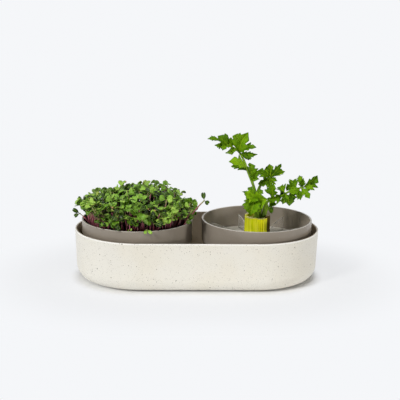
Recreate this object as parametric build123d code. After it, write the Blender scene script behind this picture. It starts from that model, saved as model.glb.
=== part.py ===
from build123d import *

import os
from math import cos, radians, sin, sqrt, tan

# Indoor herb planter: a stadium-shaped outer planter that holds two loose round pots.
# The left pot grows microgreens on a slotted sieve, the right pot regrows a celery end on a finned insert.
# Millimetres, +Z up, +X along the planter's length. The origin is the middle of the base it stands on.

# Pots: a wide bowl over a narrower water reservoir, with a shoulder between them.
pot_rim_diameter = 136.0
pot_height = 69.6
pot_wall = 2.0
pot_draft = 1.0
bowl_depth = 33.0
shoulder_radius = 8.0
reservoir_diameter = 100.0
reservoir_draft = 4.0
reservoir_edge_radius = 8.0
neck_radius = 3.0
rim_share = 0.25

# Outer planter, sized round the two pots.
pot_gap = 11.4
end_gap = 5.9
side_gap = 9.1
planter_height = 62.5
planter_wall = 2.4
planter_floor = 3.0
planter_draft = 2.2
planter_edge_radius = 17.0
foot_height = 1.5
foot_inset = 2.0

# Plates that lie on the shoulder inside the bowls.
plate_thickness = 2.0
plate_gap = 0.8
skirt_height = 2.7
skirt_width = 3.0
skirt_gap = 0.6

# Sieve slots, in two rings.
slot_width = 2.4
slot_length = 15.0
inner_slot_count = 12
inner_slot_middle = 26.0
outer_slot_count = 24
outer_slot_middle = 45.0

# Fins of the regrow insert.
fin_count = 6
fin_first_angle = 48.0
fin_thickness = 1.6
fin_height = 17.0
fin_inner_radius = 23.0
fin_rim_inset = 6.0
fin_bulge = 3.5
root_hole_diameter = 22.0
water_slot_count = 6

# Rooted mat and the stand of seedlings.
mat_thickness = 8.0
mat_gap = 0.8
root_layer = 1.2
root_inset = 1.0
sprout_count = 96
sow_inset = 5.0
stem_width = 1.5
canopy_rise = 46.0
canopy_fall = 12.0
canopy_lean = 0.05
canopy_step = 3.2
canopy_spread = 1.13
seed_leaf_length = 9.5
seed_leaf_width = 8.5
seed_leaf_thickness = 0.8
seed_leaf_lift = 18.0
seed_leaf_tilt = 0.6
golden_angle = 137.508

# Celery end and its leaf stalks. The plants' points below are counted in steps of one length.
plant_step = 1.0
stub_height = 29.2
stub_sheath_radius = 9.2
stub_sheath_ring = 6.4
stub_draft = 1.5
stub_hollow_radius = 10.2
stub_hollow_depth = 6.0
stub_sheath_steps = [0.0, -1.5, 1.0, -2.5, 0.5]
stalk_root_radius = 2.2
stalk_tip_radius = 0.9
stalk_rib_count = 8
stalk_groove_way = (0, 1, 0.01)
leaflet_thickness = 0.8
leaflet_facing = (0.15, -0.85, 0.5)

# Levels and radii that follow from the sizes above.
floor_top = foot_height + planter_floor
pot_x = (pot_rim_diameter + pot_gap) / 2
half_width = pot_rim_diameter / 2 + side_gap + planter_wall
half_length = pot_gap / 2 + pot_rim_diameter + end_gap + planter_wall
half_straight = half_length - half_width
rim_radius = pot_rim_diameter / 2
shoulder_height = pot_height - bowl_depth
shoulder_outer = rim_radius - bowl_depth * tan(radians(pot_draft))
reservoir_top = reservoir_diameter / 2
reservoir_bottom = reservoir_top - shoulder_height * tan(radians(reservoir_draft))
bowl_corner = shoulder_radius - pot_wall
ledge_level = floor_top + shoulder_height + pot_wall
ledge_outer = shoulder_outer - pot_wall - bowl_corner
plate_bottom = ledge_level + skirt_height
plate_top = plate_bottom + plate_thickness
slot_cut_height = plate_thickness + skirt_height
corner_rise = max(bowl_corner - skirt_height, 0.0)
plate_radius = ledge_outer + sqrt(bowl_corner**2 - corner_rise**2) - plate_gap
skirt_radius = ledge_outer - skirt_gap
fin_outer_radius = plate_radius - fin_rim_inset
mat_radius = plate_radius - mat_gap
mat_top = plate_top + mat_thickness
root_top = mat_top + root_layer
root_radius = mat_radius - root_inset
sow_radius = root_radius - sow_inset
stub_top = plate_top + stub_height

# Half outline of a toothed, three-lobed leaflet: share of its length, share of its half width.
LEAFLET_EDGE = [(0.0, 0.12), (0.12, 0.34), (0.30, 0.92), (0.40, 0.72), (0.56, 1.0), (0.66, 0.66), (0.84, 0.50)]

# Half outline of a notched, heart-shaped seed leaf, in the same shares.
SEED_LEAF_EDGE = [(0.0, 0.12), (0.45, 0.75), (0.82, 1.0), (1.0, 0.55)]

# Leaf stalks, in plant steps from the middle of the cut top. A stalk's line starts on the floor of the hollow.
# A leaflet has its station on the line (2.5 is halfway from the third point to the fourth), its tip and its width.
STALKS = {
    "tall_stalk": {
        "line": [(-3.5, 2.5), (-2.5, 2.5, 22), (-6.5, 3.5, 38), (-11.5, 5, 50.5), (-20.5, 8, 72.5), (-25, 9, 79),
                 (-41.5, 8, 88.5), (-47.5, 6, 92.5)],
        "leaflets": [(4.5, (-14, -4, 105), 19), (4.7, (-4, -8, 87.5), 13), (4.6, (-2.5, -9, 79), 8),
                     (4.4, (-9, 10, 69), 7), (5.0, (-25, 22, 99), 13), (5.6, (-22, 16, 101), 9),
                     (5.3, (-41, 14, 100.5), 12), (5.7, (-49, 10, 97.5), 10), (5.3, (-32.5, -2, 78), 6),
                     (6.8, (-63, 2, 95.5), 7), (6.4, (-54.5, -4, 89), 8), (3.3, (-37, -6, 69), 16),
                     (2.8, (-10, 14, 64), 13), (2.7, (-1.5, 0, 57), 12), (2.2, (-3, 3, 54), 9)],
    },
    "middle_stalk": {
        "line": [(1.5, 6.5), (0, 8, 14.5), (2, 11, 30), (8, 15, 39.5), (17, 18, 44.5)],
        "leaflets": [(3.8, (0.5, 22, 52), 14), (3.9, (15.5, 22, 61), 11), (3.9, (29.5, 14, 63), 10),
                     (4.0, (35.5, 22, 51.5), 8), (3.8, (25, 12, 41.5), 6), (3.9, (1, 12, 37.5), 12),
                     (3.9, (13, 10, 35.5), 12), (3.9, (11.5, 18, 59), 6)],
    },
    "right_stalk": {
        "line": [(5.5, -3.2), (8.5, -4, 13.5), (13, -5, 21.5), (25, -7, 25.5), (39, -9, 34.5), (57, -10, 40)],
        "leaflets": [(4.9, (71, -12, 54), 14), (4.7, (50.5, 0, 51.5), 6.5), (4.8, (53.5, -16, 51.5), 7.5),
                     (4.9, (67.5, -18, 37), 7), (4.7, (61.5, -20, 27), 10), (4.5, (47, -18, 25), 9),
                     (4.5, (35, 4, 35), 11), (3.5, (37, -20, 17.5), 17), (3.5, (27, 4, 36), 11),
                     (2.5, (18, -10, 43), 14), (3.9, (43, -14, 23), 12), (3.4, (9.5, -13, 24.5), 10),
                     (4.7, (36.5, -16, 34), 11), (2.3, (11, 3, 35), 7), (2.9, (22.5, -14, 22), 9)],
    },
    "front_stalk": {
        "line": [(-1.5, -5.5), (-1.5, -9, 8.5), (-2.5, -12, 16.5), (-5, -15, 29)],
        "leaflets": [(2.9, (-12.5, -22, 6.5), 19), (2.8, (-17.5, -20, 34), 15), (2.7, (-17, -24, 20.5), 18),
                     (2.5, (9.5, -22, 26.5), 20), (2.3, (5, -20, 17.5), 15), (3.0, (-13.5, -9, 37.5), 9),
                     (2.9, (5.5, -9, 34.5), 7), (2.9, (-21, -17, 34.5), 4)],
    },
    "side_stalk": {
        "line": [(6, 3), (7.5, 3.5, 0.5), (15.5, 4, 11.5)],
        "leaflets": [(1.9, (23.5, 0, 14), 11), (1.9, (19, 8, 21), 10), (1.7, (20.5, 6, 4.5), 8)],
    },
}

# Seedlings that lean out over the rim, in plant steps from the pot's axis and the top of the roots:
# foot, bend, head, and the way their leaves point.
STRAY_SEEDLINGS = [
    ((50, -21, 0), (66, -28, 30), (80.5, -38, 48), 115),
    ((-52, -5, 0), (-60, -7, 15), (-70, -8, 24), 95),
]


def closed_face(points, radii):
    """A face in the XZ plane from radius and height pairs, with a round at each corner."""
    return make_face(Plane.XZ * FilletPolyline(*points, radius=radii, close=True))


def outer_planter():
    """Stadium tub: half a turn of its wall section at each end, joined by straight walls."""
    base_corner = half_width - (planter_height - foot_height) * tan(radians(planter_draft))
    foot_radius = base_corner - planter_edge_radius - foot_inset
    floor_corner = base_corner - planter_wall
    rim_round = rim_share * planter_wall
    section_points = [
        (0, 0),
        (foot_radius, 0),
        (foot_radius, foot_height),
        (base_corner, foot_height),
        (half_width, planter_height),
        (half_width - planter_wall, planter_height),
        (floor_corner, floor_top),
        (0, floor_top),
    ]
    section_radii = [0, 0, 0, planter_edge_radius, rim_round, rim_round, planter_edge_radius - planter_wall, 0]
    section = closed_face(section_points, section_radii)
    front = Pos(half_straight, 0, 0) * Rot(0, 0, -90) * section
    wall = extrude(front, amount=2 * half_straight, dir=(-1, 0, 0))
    end = revolve(front, axis=Axis((half_straight, 0, 0), (0, 0, 1)), revolution_arc=180)
    return Part() + [wall, end, Rot(0, 0, 180) * wall, Rot(0, 0, 180) * end]


def pot():
    """One pot, turned about its own axis: reservoir, shoulder, bowl and a rounded rim."""
    rim_round = rim_share * pot_wall
    outside = [
        (0, 0),
        (reservoir_bottom, 0),
        (reservoir_top, shoulder_height),
        (shoulder_outer, shoulder_height),
        (rim_radius, pot_height),
    ]
    inside = [
        (rim_radius - pot_wall, pot_height),
        (shoulder_outer - pot_wall, shoulder_height + pot_wall),
        (reservoir_top - pot_wall, shoulder_height + pot_wall),
        (reservoir_bottom - pot_wall, pot_wall),
        (0, pot_wall),
    ]
    outside_radii = [0, reservoir_edge_radius, neck_radius, shoulder_radius, rim_round]
    inside_radii = [rim_round, bowl_corner, neck_radius + pot_wall, reservoir_edge_radius - pot_wall, 0]
    section = closed_face(outside + inside, outside_radii + inside_radii)
    return Pos(0, 0, floor_top) * revolve(section, axis=Axis.Z)


def shoulder_plate():
    """Round plate with a skirt below that stands on the pot's shoulder."""
    plate = Pos(0, 0, plate_bottom) * extrude(Circle(plate_radius), plate_thickness)
    ring = Circle(skirt_radius) - Circle(skirt_radius - skirt_width)
    return plate + Pos(0, 0, ledge_level) * extrude(ring, skirt_height)


def radial_slots(count, middle, first_angle):
    """Slot cutters that point at the axis, evenly spaced on a circle."""
    cutter = Box(slot_length, slot_width, slot_cut_height)
    level = Pos(0, 0, plate_bottom + plate_thickness / 2)
    return [level * place * cutter for place in PolarLocations(middle, count, start_angle=first_angle)]


def sprouting_sieve():
    """Shoulder plate with two rings of slots for roots and water."""
    sieve = shoulder_plate()
    sieve -= radial_slots(inner_slot_count, inner_slot_middle, 0)
    sieve -= radial_slots(outer_slot_count, outer_slot_middle, 0)
    return sieve


def insert_fin():
    """One upright fin: square at the rim, arched down towards the middle."""
    crown = ((fin_inner_radius + fin_outer_radius) / 2 - fin_bulge / 2, fin_height / 2 + fin_bulge)
    foot = Polyline((fin_inner_radius, 0), (fin_outer_radius, 0), (fin_outer_radius, fin_height))
    arch = ThreePointArc((fin_outer_radius, fin_height), crown, (fin_inner_radius, 0))
    blade = make_face(Plane.XZ * (foot + arch))
    return Pos(0, 0, plate_top) * extrude(blade, amount=fin_thickness / 2, both=True)


def regrow_insert():
    """Shoulder plate with a root hole, water slots and upright fins round a vegetable end."""
    insert = shoulder_plate()
    insert -= Pos(0, 0, plate_bottom) * extrude(Circle(root_hole_diameter / 2), plate_thickness)
    half_pitch = 180 / fin_count
    slot_middle = (fin_inner_radius + fin_outer_radius) / 2
    insert -= radial_slots(water_slot_count, slot_middle, fin_first_angle + half_pitch)
    fin = insert_fin()
    return insert + [Rot(0, 0, fin_first_angle + 2 * half_pitch * k) * fin for k in range(fin_count)]


def blade_between(root, tip, width, half_edge, thickness, facing):
    """A flat leaf blade from root to tip, turned to face the given way."""
    along = Vector(tip) - Vector(root)
    length = along.length
    near_side = [(share * length, -half * width / 2) for share, half in half_edge]
    far_side = [(share * length, half * width / 2) for share, half in reversed(half_edge)]
    blade = make_face(Polyline(*near_side, (length, 0), *far_side, close=True))
    normal = Vector(facing) - along * (Vector(facing).dot(along) / length**2)
    plane = Plane(origin=root, x_dir=along, z_dir=normal)
    return plane * extrude(blade, amount=thickness / 2, both=True)


def stem_run(foot, head):
    """One straight run of a seedling's stem, square across."""
    step = Vector(head) - Vector(foot)
    return Pos(Vector(foot)) * extrude(Rectangle(stem_width, stem_width), amount=step.length, dir=step)


def seedling(points, turn):
    """A stem through the given points with a pair of seed leaves at its head, tilted outwards."""
    runs = [stem_run(foot, head) for foot, head in zip(points, points[1:])]
    head = Vector(points[-1])
    facing = Vector(head.X, head.Y, 0).normalized() * seed_leaf_tilt + Vector(0, 0, 1)
    lift = radians(seed_leaf_lift)
    for side in (turn, turn + 180):
        flat = seed_leaf_length * cos(lift)
        tip = head + Vector(flat * cos(radians(side)), flat * sin(radians(side)), seed_leaf_length * sin(lift))
        runs.append(blade_between(head, tip, seed_leaf_width, SEED_LEAF_EDGE, seed_leaf_thickness, facing))
    return runs


def microgreens():
    """Seedlings sown on a sunflower spiral, standing on the layer of roots above the mat."""
    pieces = []
    for index in range(sprout_count):
        reach = sow_radius * sqrt((index + 0.5) / sprout_count)
        angle = radians(index * golden_angle)
        foot = (reach * cos(angle), reach * sin(angle), 0)
        step = canopy_step * (index * 2 % 5 - 2)
        rise = canopy_rise - canopy_fall * (reach / sow_radius) ** 2 + canopy_lean * foot[0] + step
        head = (foot[0] * canopy_spread, foot[1] * canopy_spread, rise)
        pieces += seedling([foot, head], index * golden_angle * 2)
    for *places, turn in STRAY_SEEDLINGS:
        pieces += seedling([Vector(*place) * plant_step for place in places], turn)
    root_slice = extrude(Circle(root_radius), -root_layer)
    return Pos(0, 0, root_top) * (root_slice + pieces)


def growing_mat():
    """Flat round mat of fibre on the sieve."""
    return Pos(0, 0, plate_top) * extrude(Circle(mat_radius), mat_thickness)


def celery_base():
    """Cut celery end: overlapping leaf sheaths of uneven height round a hollow heart."""
    pieces = []
    for place, step in zip(PolarLocations(stub_sheath_ring, len(stub_sheath_steps)), stub_sheath_steps):
        pieces.append(place * extrude(Circle(stub_sheath_radius), stub_height + step, taper=stub_draft))
    hollow = Pos(0, 0, stub_height - stub_hollow_depth) * extrude(Circle(stub_hollow_radius), stub_height)
    return Pos(0, 0, plate_top) * (Part() + pieces - hollow)


def station_point(points, station):
    """The point at a station along a line of points."""
    index = min(int(station), len(points) - 2)
    return points[index] + (points[index + 1] - points[index]) * (station - index)


def leaf_stalk(line, leaflets):
    """A tapering ribbed stalk that rises from the hollow, with its toothed leaflets."""
    root = Vector(line[0][0] * plant_step, line[0][1] * plant_step, -stub_hollow_depth)
    points = [root] + [Vector(*point) * plant_step for point in line[1:]]
    last = len(points) - 1
    sections = []
    for index, point in enumerate(points):
        before = points[max(index - 1, 0)]
        after = points[min(index + 1, last)]
        lean = Vector(0, 0, 1) if index == 0 else after - before
        radius = stalk_root_radius + (stalk_tip_radius - stalk_root_radius) * index / last
        across = Plane(origin=point, x_dir=stalk_groove_way, z_dir=lean)
        sections.append(across * RegularPolygon(radius, stalk_rib_count))
    stalk = loft(sections, ruled=True)
    blades = []
    for station, tip, width in leaflets:
        root = station_point(points, station)
        tip_point = Vector(*tip) * plant_step
        width_across = width * plant_step
        blades.append(
            blade_between(root, tip_point, width_across, LEAFLET_EDGE, leaflet_thickness, leaflet_facing)
        )
    return Pos(0, 0, stub_top) * (stalk + blades)


left_place = Pos(-pot_x, 0, 0)
right_place = Pos(pot_x, 0, 0)
nodes = {
    "outer_planter": outer_planter(),
    "microgreens_pot": left_place * pot(),
    "sprouting_sieve": left_place * sprouting_sieve(),
    "growing_mat": left_place * growing_mat(),
    "microgreens": left_place * microgreens(),
    "regrow_pot": right_place * pot(),
    "regrow_insert": right_place * regrow_insert(),
    "celery_base": right_place * celery_base(),
}
for stalk_name, stalk in STALKS.items():
    nodes[stalk_name] = right_place * leaf_stalk(stalk["line"], stalk["leaflets"])

os.makedirs("parts", exist_ok=True)
for node_name, solid in nodes.items():
    export_step(solid, f"parts/{node_name}.step")
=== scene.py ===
"""Looks of a two-pot indoor herb planter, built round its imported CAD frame."""

import logging
import random
from contextlib import contextmanager
from dataclasses import dataclass
from enum import Enum
from math import atan2, cos, pi, radians, sin, sqrt, tan
from typing import Callable, Iterator, Sequence

import bmesh
import bpy
from mathutils import Matrix, Vector
from mathutils.geometry import interpolate_bezier


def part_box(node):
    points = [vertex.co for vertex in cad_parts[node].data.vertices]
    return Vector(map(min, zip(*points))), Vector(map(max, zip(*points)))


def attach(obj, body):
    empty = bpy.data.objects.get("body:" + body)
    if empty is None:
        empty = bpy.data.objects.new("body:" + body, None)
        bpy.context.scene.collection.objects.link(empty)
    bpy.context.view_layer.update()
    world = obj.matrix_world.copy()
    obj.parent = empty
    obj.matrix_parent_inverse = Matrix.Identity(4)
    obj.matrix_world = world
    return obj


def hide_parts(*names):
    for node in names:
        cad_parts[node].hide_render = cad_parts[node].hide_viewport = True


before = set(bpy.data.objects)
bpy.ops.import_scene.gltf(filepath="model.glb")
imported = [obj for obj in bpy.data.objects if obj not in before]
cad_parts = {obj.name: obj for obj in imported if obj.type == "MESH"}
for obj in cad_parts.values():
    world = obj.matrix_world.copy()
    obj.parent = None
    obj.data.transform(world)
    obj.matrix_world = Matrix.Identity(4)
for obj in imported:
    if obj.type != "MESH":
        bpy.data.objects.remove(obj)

LOG = logging.getLogger("herb_planter")
MM = 0.001
UP = Vector((0.0, 0.0, 1.0))
GOLDEN_ANGLE = radians(137.508)
TUB_HALF_STRAIGHT = 70.5 * MM
NOISE_EDGES = (0.3, 0.7)

Colour = tuple[float, float, float, float]
Point = tuple[float, float, float]
Limits = tuple[float, float]
LeafRow = tuple[float, float]
Leaflet = tuple[float, Point, float]
Source = bpy.types.NodeSocket | float | Colour | Point
Axes = bpy.types.bpy_prop_collection


class Body(Enum):
    """CAD bodies that the new pieces ride on."""

    GREENS = "greens"
    INSERT = "insert"
    CELERY = "celery"


class Slot(Enum):
    """Material slots of the record, named for each new piece."""

    TAUPE = "taupe"
    FIBRE = "fibre_mat"
    SEED_LEAF = "seed_leaf"
    FLESH = "celery_flesh"
    CELERY_LEAF = "celery_leaf"


class LeafTrait(Enum):
    """Values that each point of a plant's mesh carries for its finish."""

    SHADE = "shade"
    ALONG = "along"
    ACROSS = "across"


def rgb(red: float, green: float, blue: float) -> Colour:
    """An opaque linear colour."""
    return (red, green, blue, 1.0)


def spoke(turn: float) -> Vector:
    """Level unit vector at an angle round the upright."""
    return Vector((cos(turn), sin(turn), 0.0))


def level_scatter(chance: random.Random, spread: float) -> Vector:
    """A random step on the level, with the given spread on each axis."""
    return Vector((chance.gauss(0.0, spread), chance.gauss(0.0, spread), 0.0))


def clear_selection() -> None:
    """Deselect every object, the CAD nodes among them."""
    bpy.ops.object.select_all(action="DESELECT")


def take(obj: bpy.types.Object) -> bpy.types.Object:
    """Make one object the only selected and the active one.

    Args:
        obj: The object to work on.

    Returns:
        The same object.
    """
    clear_selection()
    obj.select_set(True)
    bpy.context.view_layer.objects.active = obj
    return obj


@contextmanager
def editing(obj: bpy.types.Object) -> Iterator[None]:
    """Edit mode on one object, for as long as the block lasts.

    Args:
        obj: The object to shape.
    """
    take(obj)
    bpy.ops.object.mode_set(mode="EDIT")
    yield
    bpy.ops.object.mode_set(mode="OBJECT")


def pick(obj: bpy.types.Object, wanted: Callable[[bmesh.types.BMVert], bool]) -> None:
    """Select just the vertices that pass a test, in edit mode.

    Args:
        obj: The object in edit mode.
        wanted: The test on a vertex.
    """
    bpy.ops.mesh.select_all(action="DESELECT")
    shape = bmesh.from_edit_mesh(obj.data)
    for vert in shape.verts:
        vert.select = wanted(vert)
    shape.select_flush(True)
    bmesh.update_edit_mesh(obj.data)


def join(objects: Sequence[bpy.types.Object], name: str) -> bpy.types.Object:
    """Join objects into the first one.

    Args:
        objects: The objects, each with its place in its mesh.
        name: Name of the joined piece.

    Returns:
        The joined object.
    """
    first = take(objects[0])
    for obj in objects[1:]:
        obj.select_set(True)
    bpy.ops.object.join()
    first.name = name
    return first


def apply_modifier(obj: bpy.types.Object, kind: str, **settings: float | int | bool | str) -> None:
    """Add one modifier to an object and apply it.

    Args:
        obj: The object to change.
        kind: Blender's name of the modifier.
        **settings: Its settings.
    """
    take(obj)
    bpy.ops.object.modifier_add(type=kind)
    modifier = obj.modifiers[-1]
    for key, value in settings.items():
        setattr(modifier, key, value)
    bpy.ops.object.modifier_apply(modifier=modifier.name)


def carry(mesh: bpy.types.Mesh, trait: LeafTrait, values: Sequence[float]) -> None:
    """Give each point of a mesh its value of a trait.

    Args:
        mesh: The mesh.
        trait: The trait.
        values: One value for each point.
    """
    attribute = mesh.attributes.new(trait.value, "FLOAT", "POINT")
    attribute.data.foreach_set("value", values)


def coat(obj: bpy.types.Object, *materials: bpy.types.Material) -> None:
    """Replace the materials of an object.

    Args:
        obj: The object.
        *materials: Its new materials, in the order that its faces number them.
    """
    obj.data.materials.clear()
    for material in materials:
        obj.data.materials.append(material)


def seat(obj: bpy.types.Object, body: Body, slot: Slot, *nodes: str) -> None:
    """Put a finished piece on its CAD body.

    Args:
        obj: The piece, at rest in the row frame.
        body: The body that it rides on.
        slot: The record's slot for its finish; not used.
        *nodes: CAD nodes that it stands for.
    """
    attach(obj, body.value)
    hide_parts(*nodes)
    LOG.info("%s: %d faces on %s", obj.name, len(obj.data.polygons), body.value)


class Wiring:
    """A tree of shader nodes, wired with short calls."""

    def __init__(self, tree: bpy.types.NodeTree) -> None:
        """Work on one tree."""
        self.tree = tree

    def add(self, kind: str, inputs: dict[str | int, Source],
            **settings: str | bool | int) -> bpy.types.Node:
        """Add one node.

        Args:
            kind: Node type, without the ShaderNode that all of them start with.
            inputs: What goes into its sockets: another node's socket, or a value.
            **settings: The node's own settings.

        Returns:
            The new node.
        """
        node = self.tree.nodes.new("ShaderNode" + kind)
        for key, value in settings.items():
            setattr(node, key, value)
        for key, value in inputs.items():
            self.feed(node.inputs[key], value)
        return node

    def feed(self, socket: bpy.types.NodeSocket, value: Source) -> None:
        """Link a socket, or set its value.

        Args:
            socket: The socket.
            value: Another node's socket, or the value.
        """
        if isinstance(value, bpy.types.NodeSocket):
            self.tree.links.new(value, socket)
        else:
            socket.default_value = value

    def math(self, operation: str, first: Source, second: Source = 0.0) -> bpy.types.NodeSocket:
        """One sum."""
        return self.add("Math", {0: first, 1: second}, operation=operation).outputs["Value"]

    def span(self, value: Source, low: float, high: float, start: float = 0.0,
             end: float = 1.0) -> bpy.types.NodeSocket:
        """A smooth step of a value.

        Args:
            value: The value.
            low: Where the step starts.
            high: Where it ends.
            start: What comes out before it.
            end: What comes out after it.

        Returns:
            The stepped value.
        """
        inputs = {"Value": value, "From Min": low, "From Max": high, "To Min": start, "To Max": end}
        return self.add("MapRange", inputs, interpolation_type="SMOOTHSTEP").outputs["Result"]

    def seen(self) -> bpy.types.NodeSocket:
        """Tell the rays that show a surface from those that only carry its light.

        Returns:
            One for camera rays, also where they are mirrored or go through something clear.
        """
        rays = self.add("LightPath", {}).outputs
        seen = self.math("MAXIMUM", rays["Is Camera Ray"], rays["Is Glossy Ray"])
        return self.math("MAXIMUM", seen, rays["Is Transmission Ray"])


class NodeGraph(Wiring):
    """The nodes of one material."""

    # Sockets of the mix node, which has one name for several of them
    first_colour: int = 6
    second_colour: int = 7
    mixed_colour: int = 2
    midrib_edges: Limits = (0.05, 0.2)
    side_vein_edges: Limits = (0.03, 0.13)
    side_vein_share: float = 0.6

    def __init__(self, name: str, **constants: float | Colour) -> None:
        """Start from a plain shader.

        Args:
            name: Name of the material.
            **constants: Values set on the shader's own sockets, with underscores for spaces.
        """
        self.material = bpy.data.materials.new(name)
        self.material.use_nodes = True
        super().__init__(self.material.node_tree)
        self.shader = self.tree.nodes["Principled BSDF"]
        for key, value in constants.items():
            self.shader.inputs[key.replace("_", " ")].default_value = value

    def place(self, scale: Point = (1.0, 1.0, 1.0)) -> bpy.types.NodeSocket:
        """Object coordinates, stretched by a scale."""
        source = self.add("TexCoord", {}).outputs["Object"]
        return self.add("Mapping", {"Vector": source, "Scale": scale}).outputs["Vector"]

    def axes(self) -> Axes:
        """Object coordinates, with a socket for each axis."""
        return self.add("SeparateXYZ", {"Vector": self.place()}).outputs

    def tub_reach(self, axes: Axes) -> bpy.types.NodeSocket:
        """Level distance from the straight line in the middle of the tub."""
        past_end = self.math("SUBTRACT", self.math("ABSOLUTE", axes["X"]), TUB_HALF_STRAIGHT)
        return self.length(self.math("MAXIMUM", past_end, 0.0), axes["Y"])

    def trait(self, trait: LeafTrait) -> bpy.types.NodeSocket:
        """A value that the mesh carries."""
        return self.add("Attribute", {}, attribute_name=trait.value).outputs["Fac"]

    def noise(self, scale: float, detail: float = 3.0,
              place: Source | None = None) -> bpy.types.NodeSocket:
        """Soft noise of a given fineness.

        Args:
            scale: Features per metre.
            detail: Octaves of finer noise.
            place: Coordinates, or none for plain object coordinates.

        Returns:
            A value round one half.
        """
        vector = self.place() if place is None else place
        return self.add("TexNoise", {"Vector": vector, "Scale": scale, "Detail": detail}).outputs["Fac"]

    def strands(self, scale: Point, detail: float) -> bpy.types.NodeSocket:
        """Noise with its own features per metre on each axis."""
        return self.noise(1.0, detail, self.place(scale))

    def swing(self, value: Source, amount: float) -> bpy.types.NodeSocket:
        """A value round one half, turned into a swing round none."""
        return self.math("MULTIPLY", self.math("SUBTRACT", value, 0.5), amount)

    def length(self, first: Source, second: Source) -> bpy.types.NodeSocket:
        """The long side of a right triangle."""
        squares = [self.math("MULTIPLY", side, side) for side in (first, second)]
        return self.math("SQRT", self.math("ADD", *squares))

    def blend(self, share: Source, first: Source, second: Source) -> bpy.types.NodeSocket:
        """Two colours mixed.

        Args:
            share: How much of the second.
            first: The first colour.
            second: The second colour.

        Returns:
            The mixed colour.
        """
        node = self.add("Mix", {0: share}, data_type="RGBA")
        self.feed(node.inputs[self.first_colour], first)
        self.feed(node.inputs[self.second_colour], second)
        return node.outputs[self.mixed_colour]

    def ramp(self, value: Source, stops: Sequence[float], *colours: Colour) -> bpy.types.NodeSocket:
        """A colour for each value.

        Args:
            value: The value.
            stops: Places from 0 to 1, in order.
            *colours: The colour at each of them.

        Returns:
            The colour.
        """
        node = self.add("ValToRGB", {"Fac": value})
        marks = node.color_ramp.elements
        while len(marks) < len(stops):
            marks.new(1.0)
        for mark, position, colour in zip(marks, stops, colours):
            mark.position = position
            mark.color = colour
        return node.outputs["Color"]

    def veins(self, pairs: float, slant: float) -> bpy.types.NodeSocket:
        """A leaf's midrib and side veins, from the values along and across it.

        Args:
            pairs: Pairs of side veins.
            slant: How far a side vein runs forward, in pairs.

        Returns:
            One on a vein and none between.
        """
        across = self.math("ABSOLUTE", self.trait(LeafTrait.ACROSS))
        midrib = self.span(across, *self.midrib_edges, 1.0, 0.0)
        forward = self.math("MULTIPLY", across, slant)
        phase = self.math("SUBTRACT", self.math("MULTIPLY", self.trait(LeafTrait.ALONG), pairs), forward)
        ripple = self.math("PINGPONG", phase, 0.5)
        side = self.span(ripple, *self.side_vein_edges, self.side_vein_share, 0.0)
        return self.math("MAXIMUM", midrib, side)

    def finish(self, colour: Source, roughness: Source | None = None, relief: Source | None = None,
               depth: float = 0.0) -> bpy.types.Material:
        """Wire the shader and hand the material over.

        Args:
            colour: Base colour.
            roughness: Roughness, where it varies.
            relief: Height of the relief, where there is one.
            depth: Its depth in metres.

        Returns:
            The material.
        """
        self.feed(self.shader.inputs["Base Color"], colour)
        if roughness is not None:
            self.feed(self.shader.inputs["Roughness"], roughness)
        if relief is not None:
            bump = self.add("Bump", {"Height": relief, "Distance": depth, "Strength": 1.0})
            self.feed(self.shader.inputs["Normal"], bump.outputs["Normal"])
        return self.material


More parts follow.
